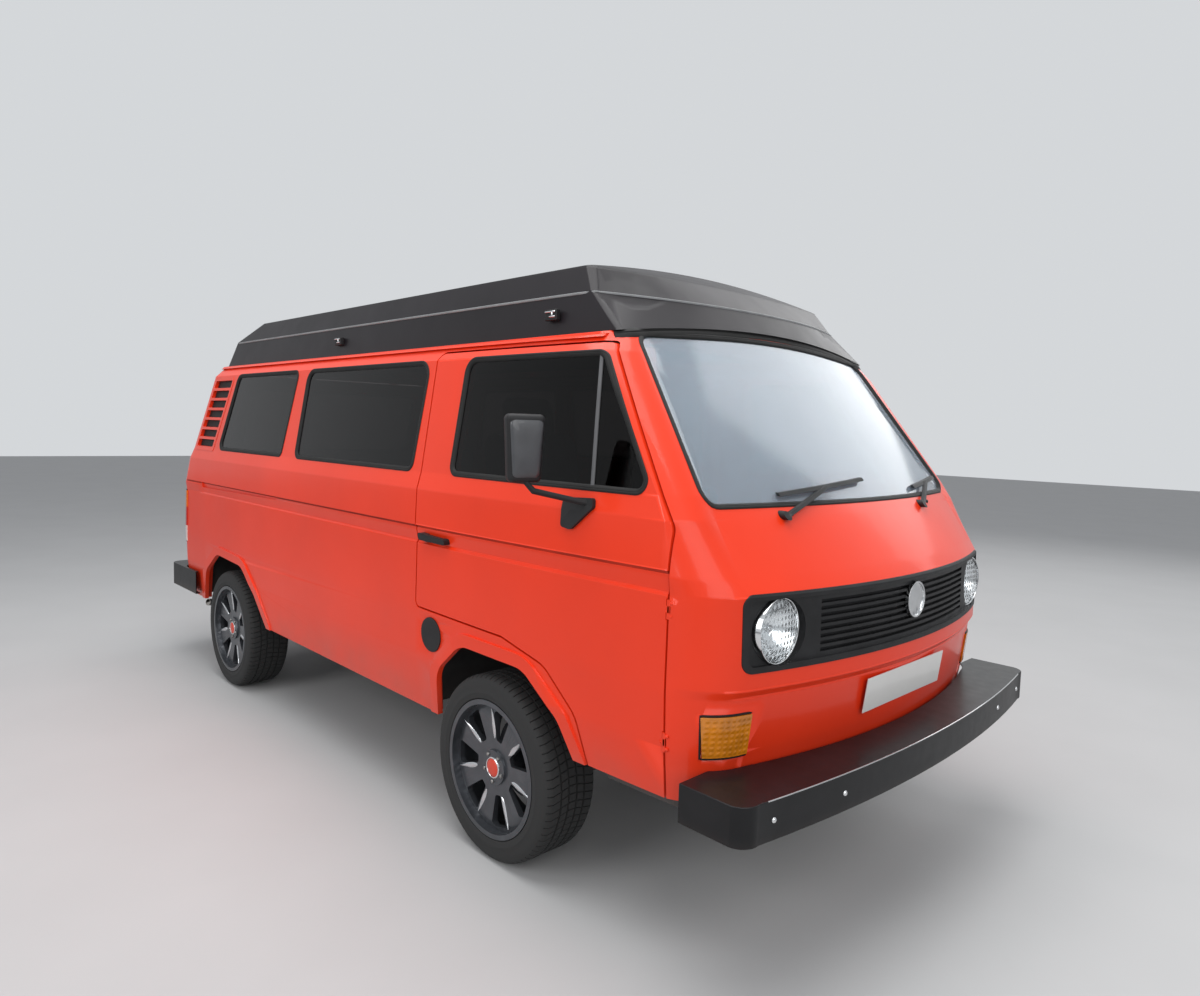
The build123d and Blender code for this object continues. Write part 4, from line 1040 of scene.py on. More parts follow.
@dataclass
class Wheels:
    """Four tyres with tread, and their seven-spoke wheels."""

    model: Model
    track: float = 1.604
    hub_z: float = 0.320
    axles: tuple[tuple[str, float], ...] = (("front", 1.125), ("rear", -1.335))
    wall: tuple[Pair, ...] = (
        (229.2, 99.4), (238.6, 99.6), (241.0, 106.4), (246.0, 107.9), (256.0, 108.0), (258.5, 108.9), (262.0, 108.9),
        (264.0, 108.1), (280.0, 107.9), (294.0, 106.6), (303.0, 103.8), (309.0, 100.0), (313.5, 95.0),
        (317.2, 88.5), (319.3, 82.0),
    )
    liner: tuple[Pair, ...] = (
        (250.0, -96.0), (300.0, -90.0), (307.0, -70.0), (308.0, 0.0), (307.0, 70.0), (300.0, 90.0), (250.0, 96.0),
    )
    tread_radius: float = 320.0
    shoulder_radius: float = 312.0
    shoulder_half: float = 80.0
    blocks: int = 72
    slit: tuple[float, ...] = (0.0, 0.03, 0.12, 0.15)
    slit_depth: float = 5.0
    groove_at: Pair = (49.0, 17.0)
    groove_half: float = 4.2
    groove_depth: float = 6.5
    shear: float = 0.06
    spokes: int = 7
    leaf: tuple[Pair, Pair] = ((99.0, -24.0), (199.0, -55.0))
    leaf_half: float = 9.0
    leaf_crown: float = 2.6
    leaf_sunk: float = 2.0
    spoke_face: Triple = (80.0, 76.0, 1.0 / 11.0)
    bolt_circle: float = 49.0 * MM
    cap: tuple[Pair, ...] = (
        (0.0, 92.0), (12.0, 91.6), (22.0, 90.4), (28.0, 88.6), (30.5, 86.0), (30.5, 83.0), (0.0, 83.0),
    )
    ring: tuple[Pair, ...] = ((31.0, 83.5), (31.0, 87.0), (32.0, 88.6), (34.5, 88.8), (36.5, 87.2), (37.0, 83.5))
    bolt: tuple[Pair, ...] = ((0.0, 91.0), (4.0, 90.6), (6.6, 89.2), (7.4, 87.6), (7.4, 83.5), (0.0, 83.5))

    def tyre(self) -> Surface:
        """Tyre about the Y axis.

        The profile runs from bead to bead over the tread and back along the liner. On the tread the
        radius drops by the groove depth between the edges of each groove, and by the slit depth
        where the turn lies within the first seventh of a block; slits lean with the distance from
        the middle.

        Returns:
            The tyre, in metres, its middle at the origin.
        """
        half = [(r, w, 0.0, float(r > self.shoulder_radius)) for r, w in self.wall]
        for middle in self.groove_at:
            for off, deep in ((0.0, 0.0), (1.0, 1.0), (2 * self.groove_half - 1.0, 1.0), (2 * self.groove_half, 0.0)):
                half.append((self.tread_radius, middle + self.groove_half - off, deep, 1.0 - deep))
        rows = half + [(r, -w, g, s) for r, w, g, s in half[::-1]] + [(r, w, 0.0, 0.0) for r, w in self.liner]
        r, w, groove, slit = np.array(rows).T
        pitch = 2 * math.pi / self.blocks
        turn = (np.arange(self.blocks)[:, None] + np.array(self.slit)).reshape(-1, 1) * pitch
        cut = np.tile([0.0, 1.0, 1.0, 0.0], self.blocks)[:, None]
        lean = self.shear * np.where(r < self.shoulder_radius, 1.0, np.clip(np.abs(w) / self.shoulder_half, 0, 1))
        radius = (r - groove * self.groove_depth - cut * slit * self.slit_depth) * MM
        across = np.broadcast_to(w * MM, radius.shape)
        grid = np.stack([radius * np.cos(turn + lean), across, radius * np.sin(turn + lean)], axis=-1)
        return Surface.grid(grid, wrap_rows=True, wrap_cols=True)

    def facets(self) -> Surface:
        """One bright leaf along each spoke's edge.

        A leaf runs beside a window from near the hub to the rim. Its half width is that of a sine
        hump pushed towards the hub. Its height is a parabola across, on a spoke face that rises
        evenly with the radius.

        Returns:
            The leaves of one wheel about the Y axis, the outside towards +Y.
        """
        s = np.linspace(0.0, 1.0, 15)[:, None]
        t = np.linspace(-1.0, 1.0, 7)[None, :]
        start, end = np.array(self.leaf)
        ahead = (end - start) / np.linalg.norm(end - start)
        half = self.leaf_half * np.sin(math.pi * np.clip(s, 0.01, 0.99) ** 0.62) + 0.2
        x = start[0] + (end[0] - start[0]) * s - ahead[1] * half * t
        z = start[1] + (end[1] - start[1]) * s + ahead[0] * half * t
        radius, height, slope = self.spoke_face
        base = height + (np.hypot(x, z) - radius) * slope
        top = np.stack([x, base + self.leaf_crown * (1 - t ** 2), z], axis=-1)
        under = np.stack([x, base - self.leaf_sunk, z], axis=-1)[:, ::-1]
        leaf = Surface.grid(np.concatenate([top, under], axis=1) * MM, wrap_cols=True, cap=True)
        return leaf.around(self.spokes)

    def build(self) -> None:
        """Builds the four wheels, each on its own body."""
        tyre, facets, cap = self.tyre(), self.facets(), spun(self.cap, 48)
        ring = spun(self.ring, 48, loop=True)
        bolts = spun(self.bolt, 6).turned(Matrix.Translation((self.bolt_circle, 0, 0))).around(5, 0.25)
        for end, axle_x in self.axles:
            for side in Side:
                label = f"{end}_{side.name.lower()}"
                body = f"wheel_{label}"
                out = Matrix.Rotation(0.0 if side is Side.LEFT else math.pi, 4, "Z")
                spot = Matrix.Translation((axle_x, side.value * self.track / 2, self.hub_z)) @ out
                piece = make_piece(f"tread_{label}", tyre.turned(spot), [TYRE_RUBBER], body, sharp=32.0)
                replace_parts(piece, f"tyre_{label}")
                self.model.dress(f"rim_{label}", GUNMETAL, 1.8 * MM)
                make_piece(f"rim_facets_{label}", facets.turned(spot), [POLISHED], body)
                make_piece(f"cap_{label}", cap.turned(spot), [PAINT], body)
                make_piece(f"cap_ring_{label}", ring.turned(spot), [CHROME], body)
                make_piece(f"bolts_{label}", bolts.turned(spot), [DISC_STEEL], body, sharp=30.0)


@dataclass
class Headlamps:
    """Round headlamps: a bowl in a rim, a bulb shield and a moulded lens."""

    at: Triple = (1.985, 0.632, 0.952)
    count: int = 96
    bowl_foot: float = 36.0
    bowl_depth: float = 56.0
    bowl_radii: Pair = (84.0, 14.0)
    rim: tuple[Pair, ...] = (
        (0.0, 0.0), (93.8, 0.0), (93.8, 102.4), (93.0, 104.2), (91.5, 105.0), (90.0, 104.2), (89.4, 102.0),
        (88.6, 95.0), (86.0, 93.0),
    )
    lens: tuple[Pair, ...] = (
        (0.0, 109.3), (20.0, 108.9), (45.0, 106.6), (68.0, 103.0), (84.0, 99.4), (88.2, 97.6), (88.2, 95.4),
        (68.0, 100.2), (45.0, 104.0), (20.0, 106.3), (0.0, 106.7),
    )
    shield: tuple[Pair, ...] = ((0.0, 72.0), (9.0, 71.0), (12.0, 68.0), (12.0, 42.0), (6.0, 36.5), (0.0, 36.5))

    def bowl(self) -> Surface:
        """Rim and bowl as one body, turned about local Y.

        The rim is a rounded ring; the bowl's depth falls as the square of the radius.

        Returns:
            The body, with the bowl's faces marked 1 and the rim's 0.
        """
        r = np.linspace(*self.bowl_radii, 12)
        bowl = np.stack([r, self.bowl_foot + self.bowl_depth * (r / self.bowl_radii[0]) ** 2], axis=1)
        rows = np.concatenate([self.rim, bowl, [(0.0, self.bowl_foot)]])
        body = spun(rows, self.count)
        body.marks = (np.arange(len(body.faces)) % (len(rows) - 1) >= len(self.rim) - 2).astype(int)
        return body

    def build(self) -> None:
        """Builds both headlamps in place of the CAD ones."""
        x, y, z = self.at
        spots = [place((x, side.value * y, z), (1, 0, 0)) for side in Side]
        bowls, lenses, shields = (
            Surface.join([shape.turned(spot) for spot in spots])
            for shape in (self.bowl(), spun(self.lens, self.count), spun(self.shield, 32)))
        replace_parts(make_piece("lamp_bowls", bowls, [CHROME, REFLECTOR]), "headlamps")
        make_piece("lamp_lenses", lenses, [CLEAR_LENS])
        make_piece("lamp_shields", shields, [CHROME])


@dataclass
class Fittings:
    """Lamp frames, bolts, roof seam, mirror faces, gasket, quarter lights, jets, levers, a bright strip of painted
    highlight on the bumper, and black plates of painted shade in the air slots.
    """

    model: Model
    ray_start: float = 1.6
    # Corner lamps: x and y of the axis, first and last angle, lower and upper height
    front_lamp: tuple[float, ...] = (1.900, 0.700, 3.0, 58.0, 0.6085, 0.7315)
    rear_lamp: tuple[float, ...] = (-1.997, 0.690, 180.0, 94.0, 0.7315, 1.0485)
    bolt_places: tuple[Pair, ...] = ((-0.821, 0.524), (-0.538, 0.522), (0.538, 0.522), (0.821, 0.524))
    bolt: tuple[Pair, ...] = ((0.0, 5.0), (4.0, 4.4), (7.0, 2.6), (8.2, 0.0), (8.2, -1.5), (0.0, -1.5))
    jet_places: tuple[Pair, ...] = ((-0.448, 1.258), (0.448, 1.258))
    jet: tuple[Pair, ...] = ((0.0, 7.0), (3.0, 6.8), (5.2, 5.0), (7.0, 2.0), (8.5, -0.5), (0.0, -0.5))
    # Beads: half width, shoulder, half width of the top, top, foot
    frame_bead: tuple[float, ...] = (3.0, 2.0, 1.5, 4.5, -1.0)
    seam_bead: tuple[float, ...] = (4.4, 1.4, 2.6, 3.2, -1.0)
    bar_bead: tuple[float, ...] = (7.0, 3.0, 4.0, 5.5, -1.0)
    strip_bead: tuple[float, ...] = (1.6, 0.5, 0.8, 1.1, -0.8)
    strip_half: float = 0.845
    strip_z: float = 0.5775
    seam_z: float = 1.9310
    seam_ends: Pair = (-1.35, 0.95)
    gasket_half: float = 0.742
    gasket_z: float = 1.8470
    gasket_fall: Pair = (0.064, 0.786)
    gasket_up: Triple = (0.79, 0.0, 0.61)
    strip_up: Triple = (0.96, 0.0, 0.28)
    gasket: tuple[Pair, ...] = (
        (22.0, -4.0), (22.0, 1.0), (17.0, 4.5), (7.0, 6.0), (4.0, 4.0), (1.0, 7.0), (-10.0, 6.0), (-16.0, 2.0),
        (-16.0, -2.0),
    )
    quarter_foot: Pair = (1.572, 1.322)
    quarter_run: Pair = (-0.050, 0.400)
    quarter_up: Pair = (0.97, 0.24)
    mirror_at: Triple = (1.495, -1.072, 1.432)
    mirror_turn: float = -18.0
    # Faces of the mirror's head: trapezoid, then how far forward the edge and the back lie, and the dome's height
    glass_shape: tuple[Pair, Pair, Pair] = ((0.039, -0.084), (0.048, 0.085), (0.014, 0.014))
    cover_shape: tuple[Pair, Pair, Pair] = ((0.040, -0.083), (0.0515, 0.084), (0.014, 0.016))
    glass_depths: Triple = (-0.0258, -0.0235, -0.0012)
    cover_depths: Triple = (0.0225, 0.021, 0.0075)
    catch_x: Pair = (1.225, -0.325)
    catch_at: Pair = (0.7625, 1.866)
    lever_bars: tuple[tuple[float, float, float, float], ...] = (
        (-26.0, 10.0, 26.0, 10.0), (-4.0, -6.0, 26.0, -6.0), (10.0, -6.0, 10.0, 10.0),
    )
    louvre_first: float = 1.324
    louvre_pitch: float = 0.0565
    louvre_height: float = 0.042
    louvre_slant: float = 0.42
    louvre_ends: Pair = (-1.864, -1.606)

    def lamp_frames(self) -> None:
        """Dark frames round the corner lamps, front and rear.

        A frame's path has corners in (angle, height) about an upright axis inside the body; each
        point is sent from outside straight at the axis and stops on the first face.
        """
        profile = bead(*self.frame_bead)
        for side in Side:
            s, label = side.value, side.name.lower()
            for end, nodes, (x, y, first, last, low, high) in (
                ("front", ("front_panel",), self.front_lamp), ("rear", ("rear_panel", f"side_{label}"), self.rear_lamp),
            ):
                sweep = np.linspace(first, last, 24)
                angle = np.radians(s * np.concatenate([sweep, np.full(8, last), sweep[::-1], np.full(8, first)]))
                climb = np.linspace(low, high, 10)[1:-1]
                rise = np.concatenate([np.full(24, low), climb, np.full(24, high), climb[::-1]])
                way = np.stack([np.cos(angle), np.sin(angle), 0 * angle], 1)
                start = np.stack([np.full(64, x), np.full(64, s * y), rise], 1) + way * self.ray_start
                path, up = cast(self.model.skin(*nodes), start, -way)
                make_piece(f"lamp_frame_{end}_{label}", swept(path, up, profile), [SEAL_RUBBER])

    def studs(
        self, name: str, node: str, spots: Sequence[Pair], rows: Sequence[Pair], count: int, finish: Finish
    ) -> None:
        """Small turned heads that stand on the front of a node.

        Args:
            name: The piece's name.
            node: The node.
            spots: Their places, as (y, z).
            rows: The profile of a head.
            count: Steps round a head.
            finish: Their finish.
        """
        points, normals = cast_outline(self.model.skin(node), np.array(spots), View.FRONT)
        heads = [spun(rows, count).turned(place(point, normal)) for point, normal in zip(points, normals)]
        make_piece(name, Surface.join(heads), [finish])

    def cross_strips(self) -> None:
        """Bright chrome strip along the front bumper's step, a painted highlight standing in for the light on its edge,
        and the gasket between screen and rising roof.

        The gasket's height falls from the middle as the square of the distance across.
        """
        # Painted highlight: a thin chrome strip along the bumper's top front edge, where the edge catches light.
        across = np.linspace(-self.strip_half, self.strip_half, 61)
        flat = np.stack([across, np.full(61, self.strip_z)], axis=1)
        path, _ = drop_on_skin(self.model.skin("bumpers"), flat, View.FRONT)
        strip = swept(path, np.array(self.strip_up), bead(*self.strip_bead), closed=False)
        make_piece("bumper_strip", strip, [CHROME])
        across = np.linspace(-self.gasket_half, self.gasket_half, 81)
        fall, at = self.gasket_fall
        flat = np.stack([across, self.gasket_z - fall * (across / at) ** 2], axis=1)
        path, _ = drop_on_skin(self.model.skin("front_panel", "roof_rim"), flat, View.FRONT)
        gasket = swept(path, np.array(self.gasket_up), self.gasket, closed=False)
        make_piece("nose_gasket", gasket, [SEAL_RUBBER])

    def roof_seam(self) -> None:
        """Pale rubber bead round the roof, just under the lid.

        The path lies at one height where the tray's skin meets lines that run square to a stadium
        about the roof's middle line.
        """
        low, high = self.seam_ends
        along, turn = np.linspace(low, high, 60), np.radians(np.linspace(-90, 90, 41))[1:-1]
        foot = np.concatenate([along, np.full(39, high), along[::-1], np.full(39, low)])
        angle = np.concatenate([np.full(60, -QUARTER_TURN), turn, np.full(60, QUARTER_TURN), turn + math.pi])
        way = np.stack([np.cos(angle), np.sin(angle), 0 * angle], 1)
        start = np.stack([foot, 0 * foot, np.full(len(foot), self.seam_z)], 1) + way * self.ray_start
        path, up = cast(self.model.skin("roof_tray"), start, -way)
        up[:, 2] = 0.0
        up /= np.linalg.norm(up, axis=1)[:, None]
        make_piece("roof_seam", swept(path, up, bead(*self.seam_bead)), [SEAM_RUBBER])

    def mirror_face(self, name: str, corners: list[Corner], depth: np.ndarray, back: float, finish: Finish,
                    sharp: float) -> None:
        """A domed plate on each mirror's housing.

        Ring k of the plate is its outline scaled by t_k, which runs evenly up to 1.

        Args:
            name: The piece's name, without its side.
            corners: The plate's outline.
            depth: How far forward each ring lies, after its scale.
            back: How far forward its back lies.
            finish: Its finish.
            sharp: Edges that turn more than this many degrees stay sharp.
        """
        ring = rounded_outline(corners)
        front = np.stack([np.broadcast_to(depth[:, 1, None], (len(depth), len(ring))),
                          ring[:, 0] * depth[:, :1], ring[:, 1] * depth[:, :1]], axis=-1)
        rear = front * np.array([0.0, 1.0, 1.0]) + np.array([back, 0.0, 0.0])
        spot = Matrix.Translation(self.mirror_at) @ Matrix.Rotation(math.radians(self.mirror_turn), 4, "Z")
        right = Surface.plate(front, rear).turned(spot)
        make_piece(f"{name}_right", right, [finish], "door_right_body", sharp)
        make_piece(f"{name}_left", right.flipped(), [finish], "door_left_body", sharp)

    def mirror_faces(self) -> None:
        """The glass at the rear of each mirror and the domed cover on its front.

        The glass bulges by about a millimetre as the square of the distance from its middle. The
        cover rises from its edge as the square root of one minus the fourth power of that distance.
        """
        t = np.linspace(0.04, 1.0, 8)
        edge, back, rise = self.glass_depths
        self.mirror_face("mirror_glass", trapezoid(*self.glass_shape),
                         np.stack([t, edge + rise * (1 - t ** 2)], 1), back, MIRROR, 35.0)
        t = np.linspace(0.05, 1.0, 12)
        edge, back, rise = self.cover_depths
        self.mirror_face("mirror_cover", trapezoid(*self.cover_shape),
                         np.stack([t, edge + rise * (1 - t ** 4) ** 0.5], 1), back, MIRROR_COVER, 60.0)

    def quarter_lights(self) -> None:
        """Leaning bar of the fixed quarter light in each door window."""
        t = np.linspace(0.0, 1.0, 24)[:, None]
        flat = np.array(self.quarter_foot) + np.array(self.quarter_run) * t
        for side in (Side.RIGHT, Side.LEFT):
            label = side.name.lower()
            path, _ = drop_on_skin(self.model.skin(f"door_{label}_glass"), flat, View[side.name])
            out, rise = self.quarter_up
            bar = swept(path, np.array([0.0, side.value * out, rise]), bead(*self.bar_bead), closed=False)
            make_piece(f"quarter_bar_{label}", bar, [GREY_PLASTIC], f"door_{label}_body")

    def catch_levers(self) -> None:
        """Two bright bars and a link on each roof catch."""
        y, z = self.catch_at
        bars = []
        for x in self.catch_x:
            for x0, z0, x1, z1 in self.lever_bars:
                length = math.hypot(x1 - x0, z1 - z0)
                rows = [(0.0, 0.0), (2.4, 0.6), (3.2, 2.4), (3.2, length - 2.4), (2.4, length - 0.6), (0.0, length)]
                bars.append(spun(rows, 16).turned(place((x + x0 * MM, y, z + z0 * MM), (x1 - x0, 0, z1 - z0))))
        left = Surface.join(bars)
        make_piece("catch_levers", Surface.join([left, left.flipped()]), [CHROME])

    def louvre_liners(self) -> None:
        """Black plates on the floors of the air slots: painted shade that darkens the slots."""
        tree = self.model.skin("louvres")
        t = np.linspace(0.05, 1.0, 3)[:, None, None]
        for side in (Side.RIGHT, Side.LEFT):
            shade_plates = []
            for i in range(7):
                low = self.louvre_first + i * self.louvre_pitch
                rows = [(x + (z - self.louvre_first) * self.louvre_slant, z, 5.0 * MM)
                        for z, ends in ((low, self.louvre_ends), (low + self.louvre_height, self.louvre_ends[::-1]))
                        for x in ends]
                ring = rounded_outline(rows, grow=-1.2 * MM, step=0.02, turn_points=4)
                centre = ring.mean(axis=0)
                flat = centre + (ring[None] - centre) * t
                points, _ = cast_outline(tree, flat.reshape(-1, 2), View[side.name])
                grid = points.reshape(*flat.shape[:2], 3)
                out = np.array([0.0, side.value * MM, 0.0])
                # Painted shade: a dark plate on the slot's floor, where the slot lies in shade.
                shade_plates.append(Surface.plate(grid + out * 1.5, grid - out))
            make_piece(f"louvre_liners_{side.name.lower()}", Surface.join(shade_plates), [SEAL_RUBBER])

    def build(self) -> None:
        """Builds all the small fittings."""
        self.lamp_frames()
        self.studs("bumper_bolts", "bumpers", self.bolt_places, self.bolt, 24, CHROME)
        self.studs("washer_jets", "front_panel", self.jet_places, self.jet, 20, BLACK_PLASTIC)
        self.cross_strips()
        self.roof_seam()
        self.mirror_faces()
        self.quarter_lights()
        self.catch_levers()
        self.louvre_liners()


@dataclass
class Cushion:
    """A crowned pad with a sewn edge seam and channels across its face.

    Row t of the grid goes from the middle of the lower face over the sides to the middle of the
    upper one. Plan scale and height follow a superellipse, so the sides are round; the faces rise
    to a crown in the middle, the long sides pull in between the corners, the seam is a groove
    at mid height, and each channel is a narrow bell-shaped dip.
    """

    low: Triple
    high: Triple
    corner: float = 0.05
    crown: float = 0.014
    flat_below: bool = True
    channels: tuple[float, ...] = ()
    channel_axis: int = 0
    rows: int = 44
    power: float = 4.5
    pull: float = 0.02
    seam: float = 0.012
    dip: float = 10.0 * MM

    def surface(self) -> Surface:
        """Works the pad out.

        Returns:
            The closed pad.
        """
        lo, hi = np.array(self.low), np.array(self.high)
        half = (hi - lo) / 2
        crown = min(self.crown, half[2] * 0.5)
        ring = rounded_outline(trapezoid((half[0], -half[1]), (half[0], half[1]), (self.corner, self.corner)),
                               step=0.02)
        around = np.arctan2(ring[:, 1] / half[1], ring[:, 0] / half[0])
        ring = ring * (1.0 - self.pull * np.cos(around * 2) ** 2)[:, None]
        turn = np.linspace(-QUARTER_TURN, QUARTER_TURN, self.rows)[:, None]
        scale = np.maximum(np.abs(np.cos(turn)) ** (2.0 / self.power), 0.015)
        rise = np.sign(np.sin(turn)) * np.abs(np.sin(turn)) ** (2.0 / self.power)
        scale = scale - self.seam * np.exp(-((rise / 0.10) ** 2))
        plan = ring[None] * scale[..., None]
        shape = 1.0 - np.clip(scale, 0, 1) ** 2
        below = -1.0 if self.flat_below else 1 - 2 * shape
        z = rise * (half[2] - crown) + crown * np.where(rise > 0, 2 * shape - 1, below)
        z = np.broadcast_to(z, plan.shape[:2]).copy()
        for at in self.channels:
            line = plan[..., self.channel_axis] - at * half[self.channel_axis]
            z -= np.where(rise > 0.3, self.dip * np.exp(-((line / self.dip) ** 2)), 0.0)
        return Surface.grid(np.concatenate([plan, z[..., None]], axis=-1) + (lo + hi) / 2, wrap_cols=True, cap=True)


@dataclass
class Interior:
    """Seats, bench and bed: pads with seams on their bases."""

    seat_y: float = 0.400
    back_lean: float = -12.0
    squab: tuple[Triple, Triple] = ((0.782, -0.248, 0.797), (1.258, 0.248, 0.929))
    plinth: tuple[Triple, Triple] = ((0.800, 0.175, 0.4705), (1.240, 0.492, 0.799))
    back_half: Triple = (0.278, 0.238, 0.047)
    back_at: Pair = (0.742, 1.190)
    head_half: Triple = (0.084, 0.128, 0.039)
    head_at: Pair = (0.672, 1.530)
    post_foot: Pair = (0.6935, 1.405)
    post_half_gap: float = 0.06
    post: tuple[Pair, ...] = ((0.0, 0.0), (5.5, 0.0), (5.5, 110.0), (0.0, 110.0))
    bench_seat: tuple[Triple, Triple] = ((-1.138, -0.398, 0.8205), (-0.622, 0.546, 0.934))
    bench_back_half: Triple = (0.198, 0.472, 0.046)
    bench_back_at: Triple = (-1.097, 0.074, 1.131)
    bench_box: tuple[Triple, Triple] = ((-1.138, -0.398, 0.4705), (-0.644, 0.546, 0.8202))
    bed: tuple[Triple, Triple] = ((-1.998, -0.788, 0.9255), (-1.162, 0.788, 0.989))

    def base_box(self, low: Triple, high: Triple, inset: float = 0.02) -> Surface:
        """A moulded base: a rounded plan that draws in at a plinth and under its top edge.

        Args:
            low: Lowest corner.
            high: Highest corner.
            inset: How far the plinth draws in.

        Returns:
            The closed base.
        """
        lo, hi = np.array(low), np.array(high)
        half = (hi - lo) / 2
        ring = rounded_outline(trapezoid((half[0], -half[1]), (half[0], half[1]), (0.02, 0.02)), step=0.05)
        rows = np.array([(lo[2], inset), (lo[2] + 0.05, inset), (lo[2] + 0.056, 0.004), (hi[2] - 0.03, 0.0),
                         (hi[2] - 0.004, 0.0), (hi[2], 0.004)])
        scale = 1 - rows[:, 1:] / half[:2]
        plan = ring[None] * scale[:, None, :] + (lo + hi)[:2] / 2
        height = np.broadcast_to(rows[:, :1, None], (*plan.shape[:2], 1))
        return Surface.grid(np.concatenate([plan, height], axis=-1), wrap_cols=True, cap=True)

    def upright(self, half: Triple, centre: Triple, lean: float, **look: object) -> Surface:
        """A pad made about the origin with its face up, then stood up with its face forward.

        Args:
            half: Half its sizes.
            centre: Where its middle goes.
            lean: How far it leans, in degrees; less than 0 leans back.
            look: The pad's other values.

        Returns:
            The placed pad.
        """
        pad = Cushion(tuple(-h for h in half), half, flat_below=False, **look).surface()
        stood = Matrix.Rotation(math.radians(lean), 4, "Y") @ Matrix.Rotation(QUARTER_TURN, 4, "Y")
        return pad.turned(Matrix.Translation(centre) @ stood)

    def pad(self, name: str, shapes: Sequence[Surface], cloth: Finish, *nodes: str) -> None:
        """Makes one padded piece.

        Args:
            name: The piece's name.
            shapes: The pads in it.
            cloth: Its cloth.
            nodes: CAD nodes that it stands for.
        """
        piece = make_piece(name, Surface.join(shapes), [cloth], sharp=60.0)
        if nodes:
            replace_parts(piece, *nodes)

    def front_seats(self) -> None:
        """Two front seats: pad, backrest and headrest on a plinth, with two posts."""
        squabs, backs, heads, plinths, posts = [], [], [], [], []
        lean = math.radians(self.back_lean)
        for side in Side:
            middle = side.value * self.seat_y
            low, high = ((x, y + middle, z) for x, y, z in self.squab)
            squabs.append(Cushion(low, high, 0.06, 0.016, channels=(-0.45, 0.0, 0.45)).surface())
            (x, z), (head_x, head_z), (post_x, post_z) = self.back_at, self.head_at, self.post_foot
            backs.append(self.upright(self.back_half, (x, middle, z), self.back_lean, corner=0.06, crown=0.012,
                                      channels=(-0.5, -0.1, 0.3)))
            heads.append(self.upright(self.head_half, (head_x, middle, head_z), self.back_lean, corner=0.05,
                                      crown=0.010, rows=30))
            (x_low, inner, z_low), (x_high, outer, z_high) = self.plinth
            y_low, y_high = sorted((side.value * inner, side.value * outer))
            plinths.append(self.base_box((x_low, y_low, z_low), (x_high, y_high, z_high)))
            for off in (-self.post_half_gap, self.post_half_gap):
                spot = place((post_x, middle + off, post_z), (math.sin(lean), 0, math.cos(lean)))
                posts.append(spun(self.post, 16).turned(spot))
        self.pad("seat_pads", squabs, SEAT_CLOTH, "front_seats")
        self.pad("seat_backs", backs, SEAT_CLOTH)
        self.pad("seat_headrests", heads, SEAT_CLOTH)
        make_piece("seat_plinths", Surface.join(plinths), [BLACK_PLASTIC])
        make_piece("seat_posts", Surface.join(posts), [CHROME])

    def bench_and_bed(self) -> None:
        """The rear bench on its box and the mattress over the deck."""
        seat = Cushion(*self.bench_seat, 0.04, 0.014, channels=(-0.34, 0.34), channel_axis=1).surface()
        back = self.upright(self.bench_back_half, self.bench_back_at, 0.0, corner=0.04, crown=0.012,
                            channels=(-0.34, 0.34), channel_axis=1)
        self.pad("bench_pads", [seat, back], SEAT_CLOTH, "rear_bench")
        make_piece("bench_box", self.base_box(*self.bench_box, 0.03), [VENEER])
        bed = Cushion(*self.bed, 0.04, 0.012, channels=(-0.5, 0.0, 0.5), channel_axis=1).surface()
        self.pad("bed_pad", [bed], BED_CLOTH, "mattress")

    def build(self) -> None:
        """Builds the soft furnishings."""
        self.front_seats()
        self.bench_and_bed()


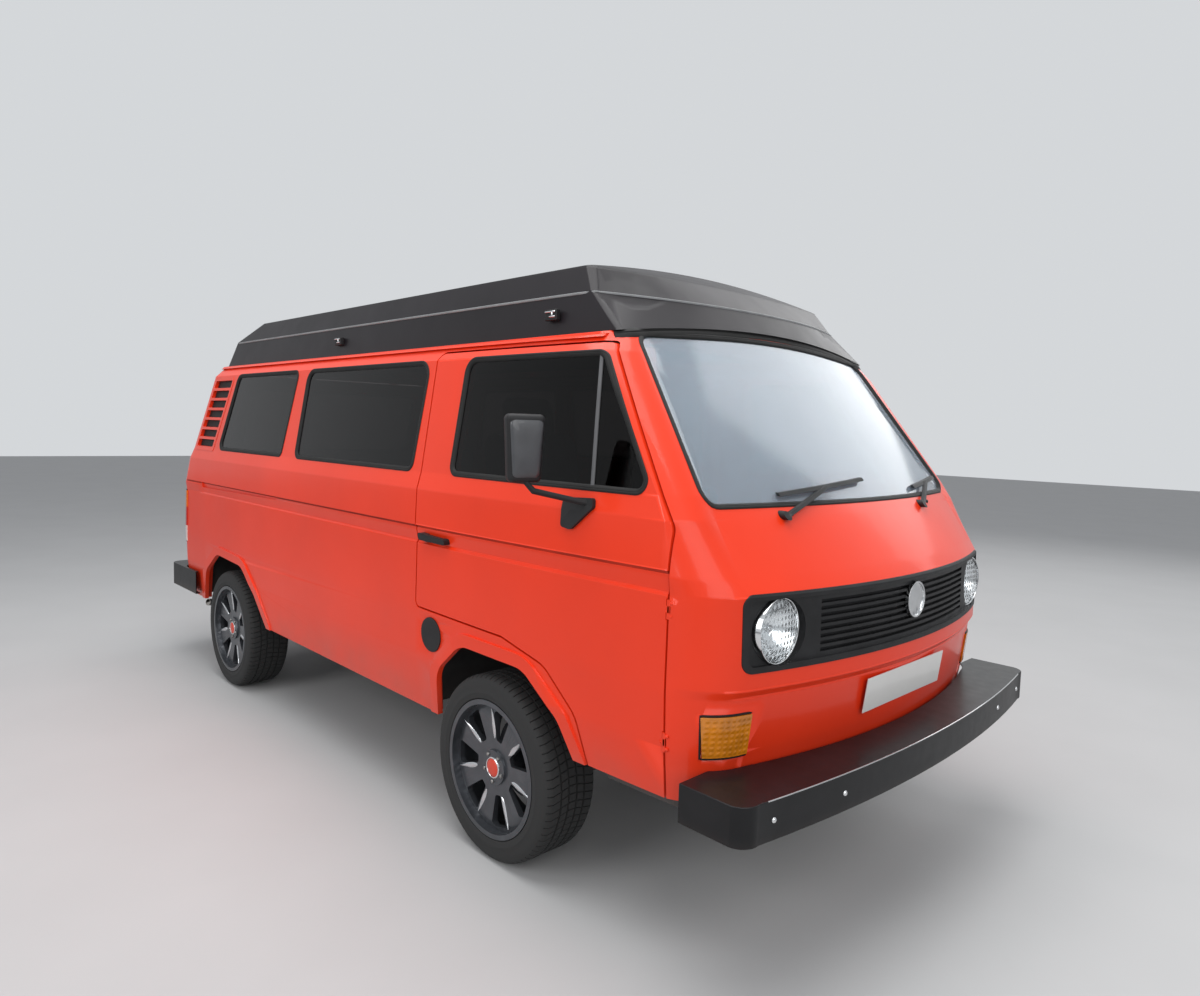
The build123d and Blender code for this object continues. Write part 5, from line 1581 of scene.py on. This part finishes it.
@dataclass
class Studio:
    """Pale floor, pale surroundings, soft lamps and the camera."""

    floor_size: float = 60.0
    light: Colour = (0.92, 0.95, 1.0)
    light_strength: float = 0.42
    sky: Colour = (0.66, 0.68, 0.70)
    camera_at: Triple = (3.336, -2.518, 1.495)
    yaw: float = 2.371
    pitch: float = -0.074
    roll: float = 0.029
    lens: float = 24.407
    sensor: float = 36.0
    shift: Pair = (-0.00705, -0.00758)
    # Lamps: name, place, the point it faces, side in metres and watts
    lamps: tuple[tuple[str, Triple, Triple, float, float], ...] = (
        ("overhead", (0.6, -0.8, 6.0), (0.0, 0.0, 0.8), 5.0, 290.0),
        ("front", (8.0, -3.4, 4.8), (0.5, 0.0, 1.0), 6.0, 250.0),
        ("side", (0.5, -7.5, 4.0), (0.0, 0.0, 1.0), 4.0, 150.0),
        ("far", (1.4, 7.6, 6.6), (1.6, 0.0, 1.7), 6.5, 240.0),
    )

    def floor(self) -> None:
        """A wide plain floor."""
        line = np.linspace(-self.floor_size / 2, self.floor_size / 2, 3)
        x, y = np.meshgrid(line, line, indexing="ij")
        grid = Surface.grid(np.stack([x, y, np.zeros_like(x)], axis=-1))
        mesh = bpy.data.meshes.new("floor")
        mesh.from_pydata(grid.points.tolist(), [], grid.faces)
        add_object("floor", mesh, [FLOOR], 35.0)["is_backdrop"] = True

    def world(self) -> None:
        """Soft light from all round; camera, mirror and glass rays see the pale sky."""
        world = bpy.data.worlds.new("studio")
        bpy.context.scene.world = world
        world.use_nodes = True
        tree = world.node_tree
        tree.nodes.clear()
        light = add_node(tree, "Background", {"Color": (*self.light, 1.0), "Strength": self.light_strength})
        seen = add_node(tree, "Background", {"Color": (*self.sky, 1.0), "Strength": 1.0})
        rays = tree.nodes.new("ShaderNodeLightPath").outputs
        total = rays["Is Camera Ray"]
        for name in ("Is Glossy Ray", "Is Transmission Ray"):
            total = add_node(tree, "Math", {0: total, 1: rays[name]}, operation="MAXIMUM")
        mixed = add_node(tree, "MixShader", {0: total, 1: light, 2: seen})
        out = tree.nodes.new("ShaderNodeOutputWorld")
        tree.links.new(mixed, out.inputs[0])

    def lamp(self, name: str, at: Triple, aim: Triple, size: float, power: float) -> None:
        """A soft square lamp.

        Args:
            name: The lamp's name.
            at: Its place.
            aim: The point it faces.
            size: Its side in metres.
            power: Watts.
        """
        data = bpy.data.lights.new(name, "AREA")
        data.shape = "SQUARE"
        data.size = size
        data.energy = power
        lamp = bpy.data.objects.new(name, data)
        lamp.location = at
        lamp.rotation_euler = (Vector(aim) - Vector(at)).to_track_quat("-Z", "Y").to_euler()
        bpy.context.scene.collection.objects.link(lamp)

    def camera(self) -> None:
        """The camera at the photograph's place."""
        forward = Vector((math.cos(self.yaw) * math.cos(self.pitch), math.sin(self.yaw) * math.cos(self.pitch),
                          math.sin(self.pitch)))
        level = forward.cross(Vector((0, 0, 1))).normalized()
        above = level.cross(forward)
        right = level * math.cos(self.roll) + above * math.sin(self.roll)
        up = above * math.cos(self.roll) - level * math.sin(self.roll)
        data = bpy.data.cameras.new("camera")
        data.lens = self.lens
        data.sensor_width = self.sensor
        data.shift_x, data.shift_y = self.shift
        camera = bpy.data.objects.new("camera", data)
        frame = Matrix((right, up, -forward)).transposed().to_4x4()
        camera.matrix_world = Matrix.Translation(self.camera_at) @ frame
        bpy.context.scene.collection.objects.link(camera)
        bpy.context.scene.camera = camera

    def build(self) -> None:
        """Sets up the floor, the light and the camera."""
        self.floor()
        self.world()
        for values in self.lamps:
            self.lamp(*values)
        self.camera()
        bpy.context.scene.view_settings.view_transform = "Standard"


def main() -> None:
    """Builds the scene around the CAD frame, whose box the model notes."""
    logging.basicConfig(level=logging.INFO, format="%(name)s %(message)s")
    model = Model()
    Studio().build()
    for part in (Panels(model), Glazing(model), Wheels(model), Headlamps(), Fittings(model), Interior()):
        part.build()
        log.info("%s: done", type(part).__name__)


if __name__ == "__main__":
    main()
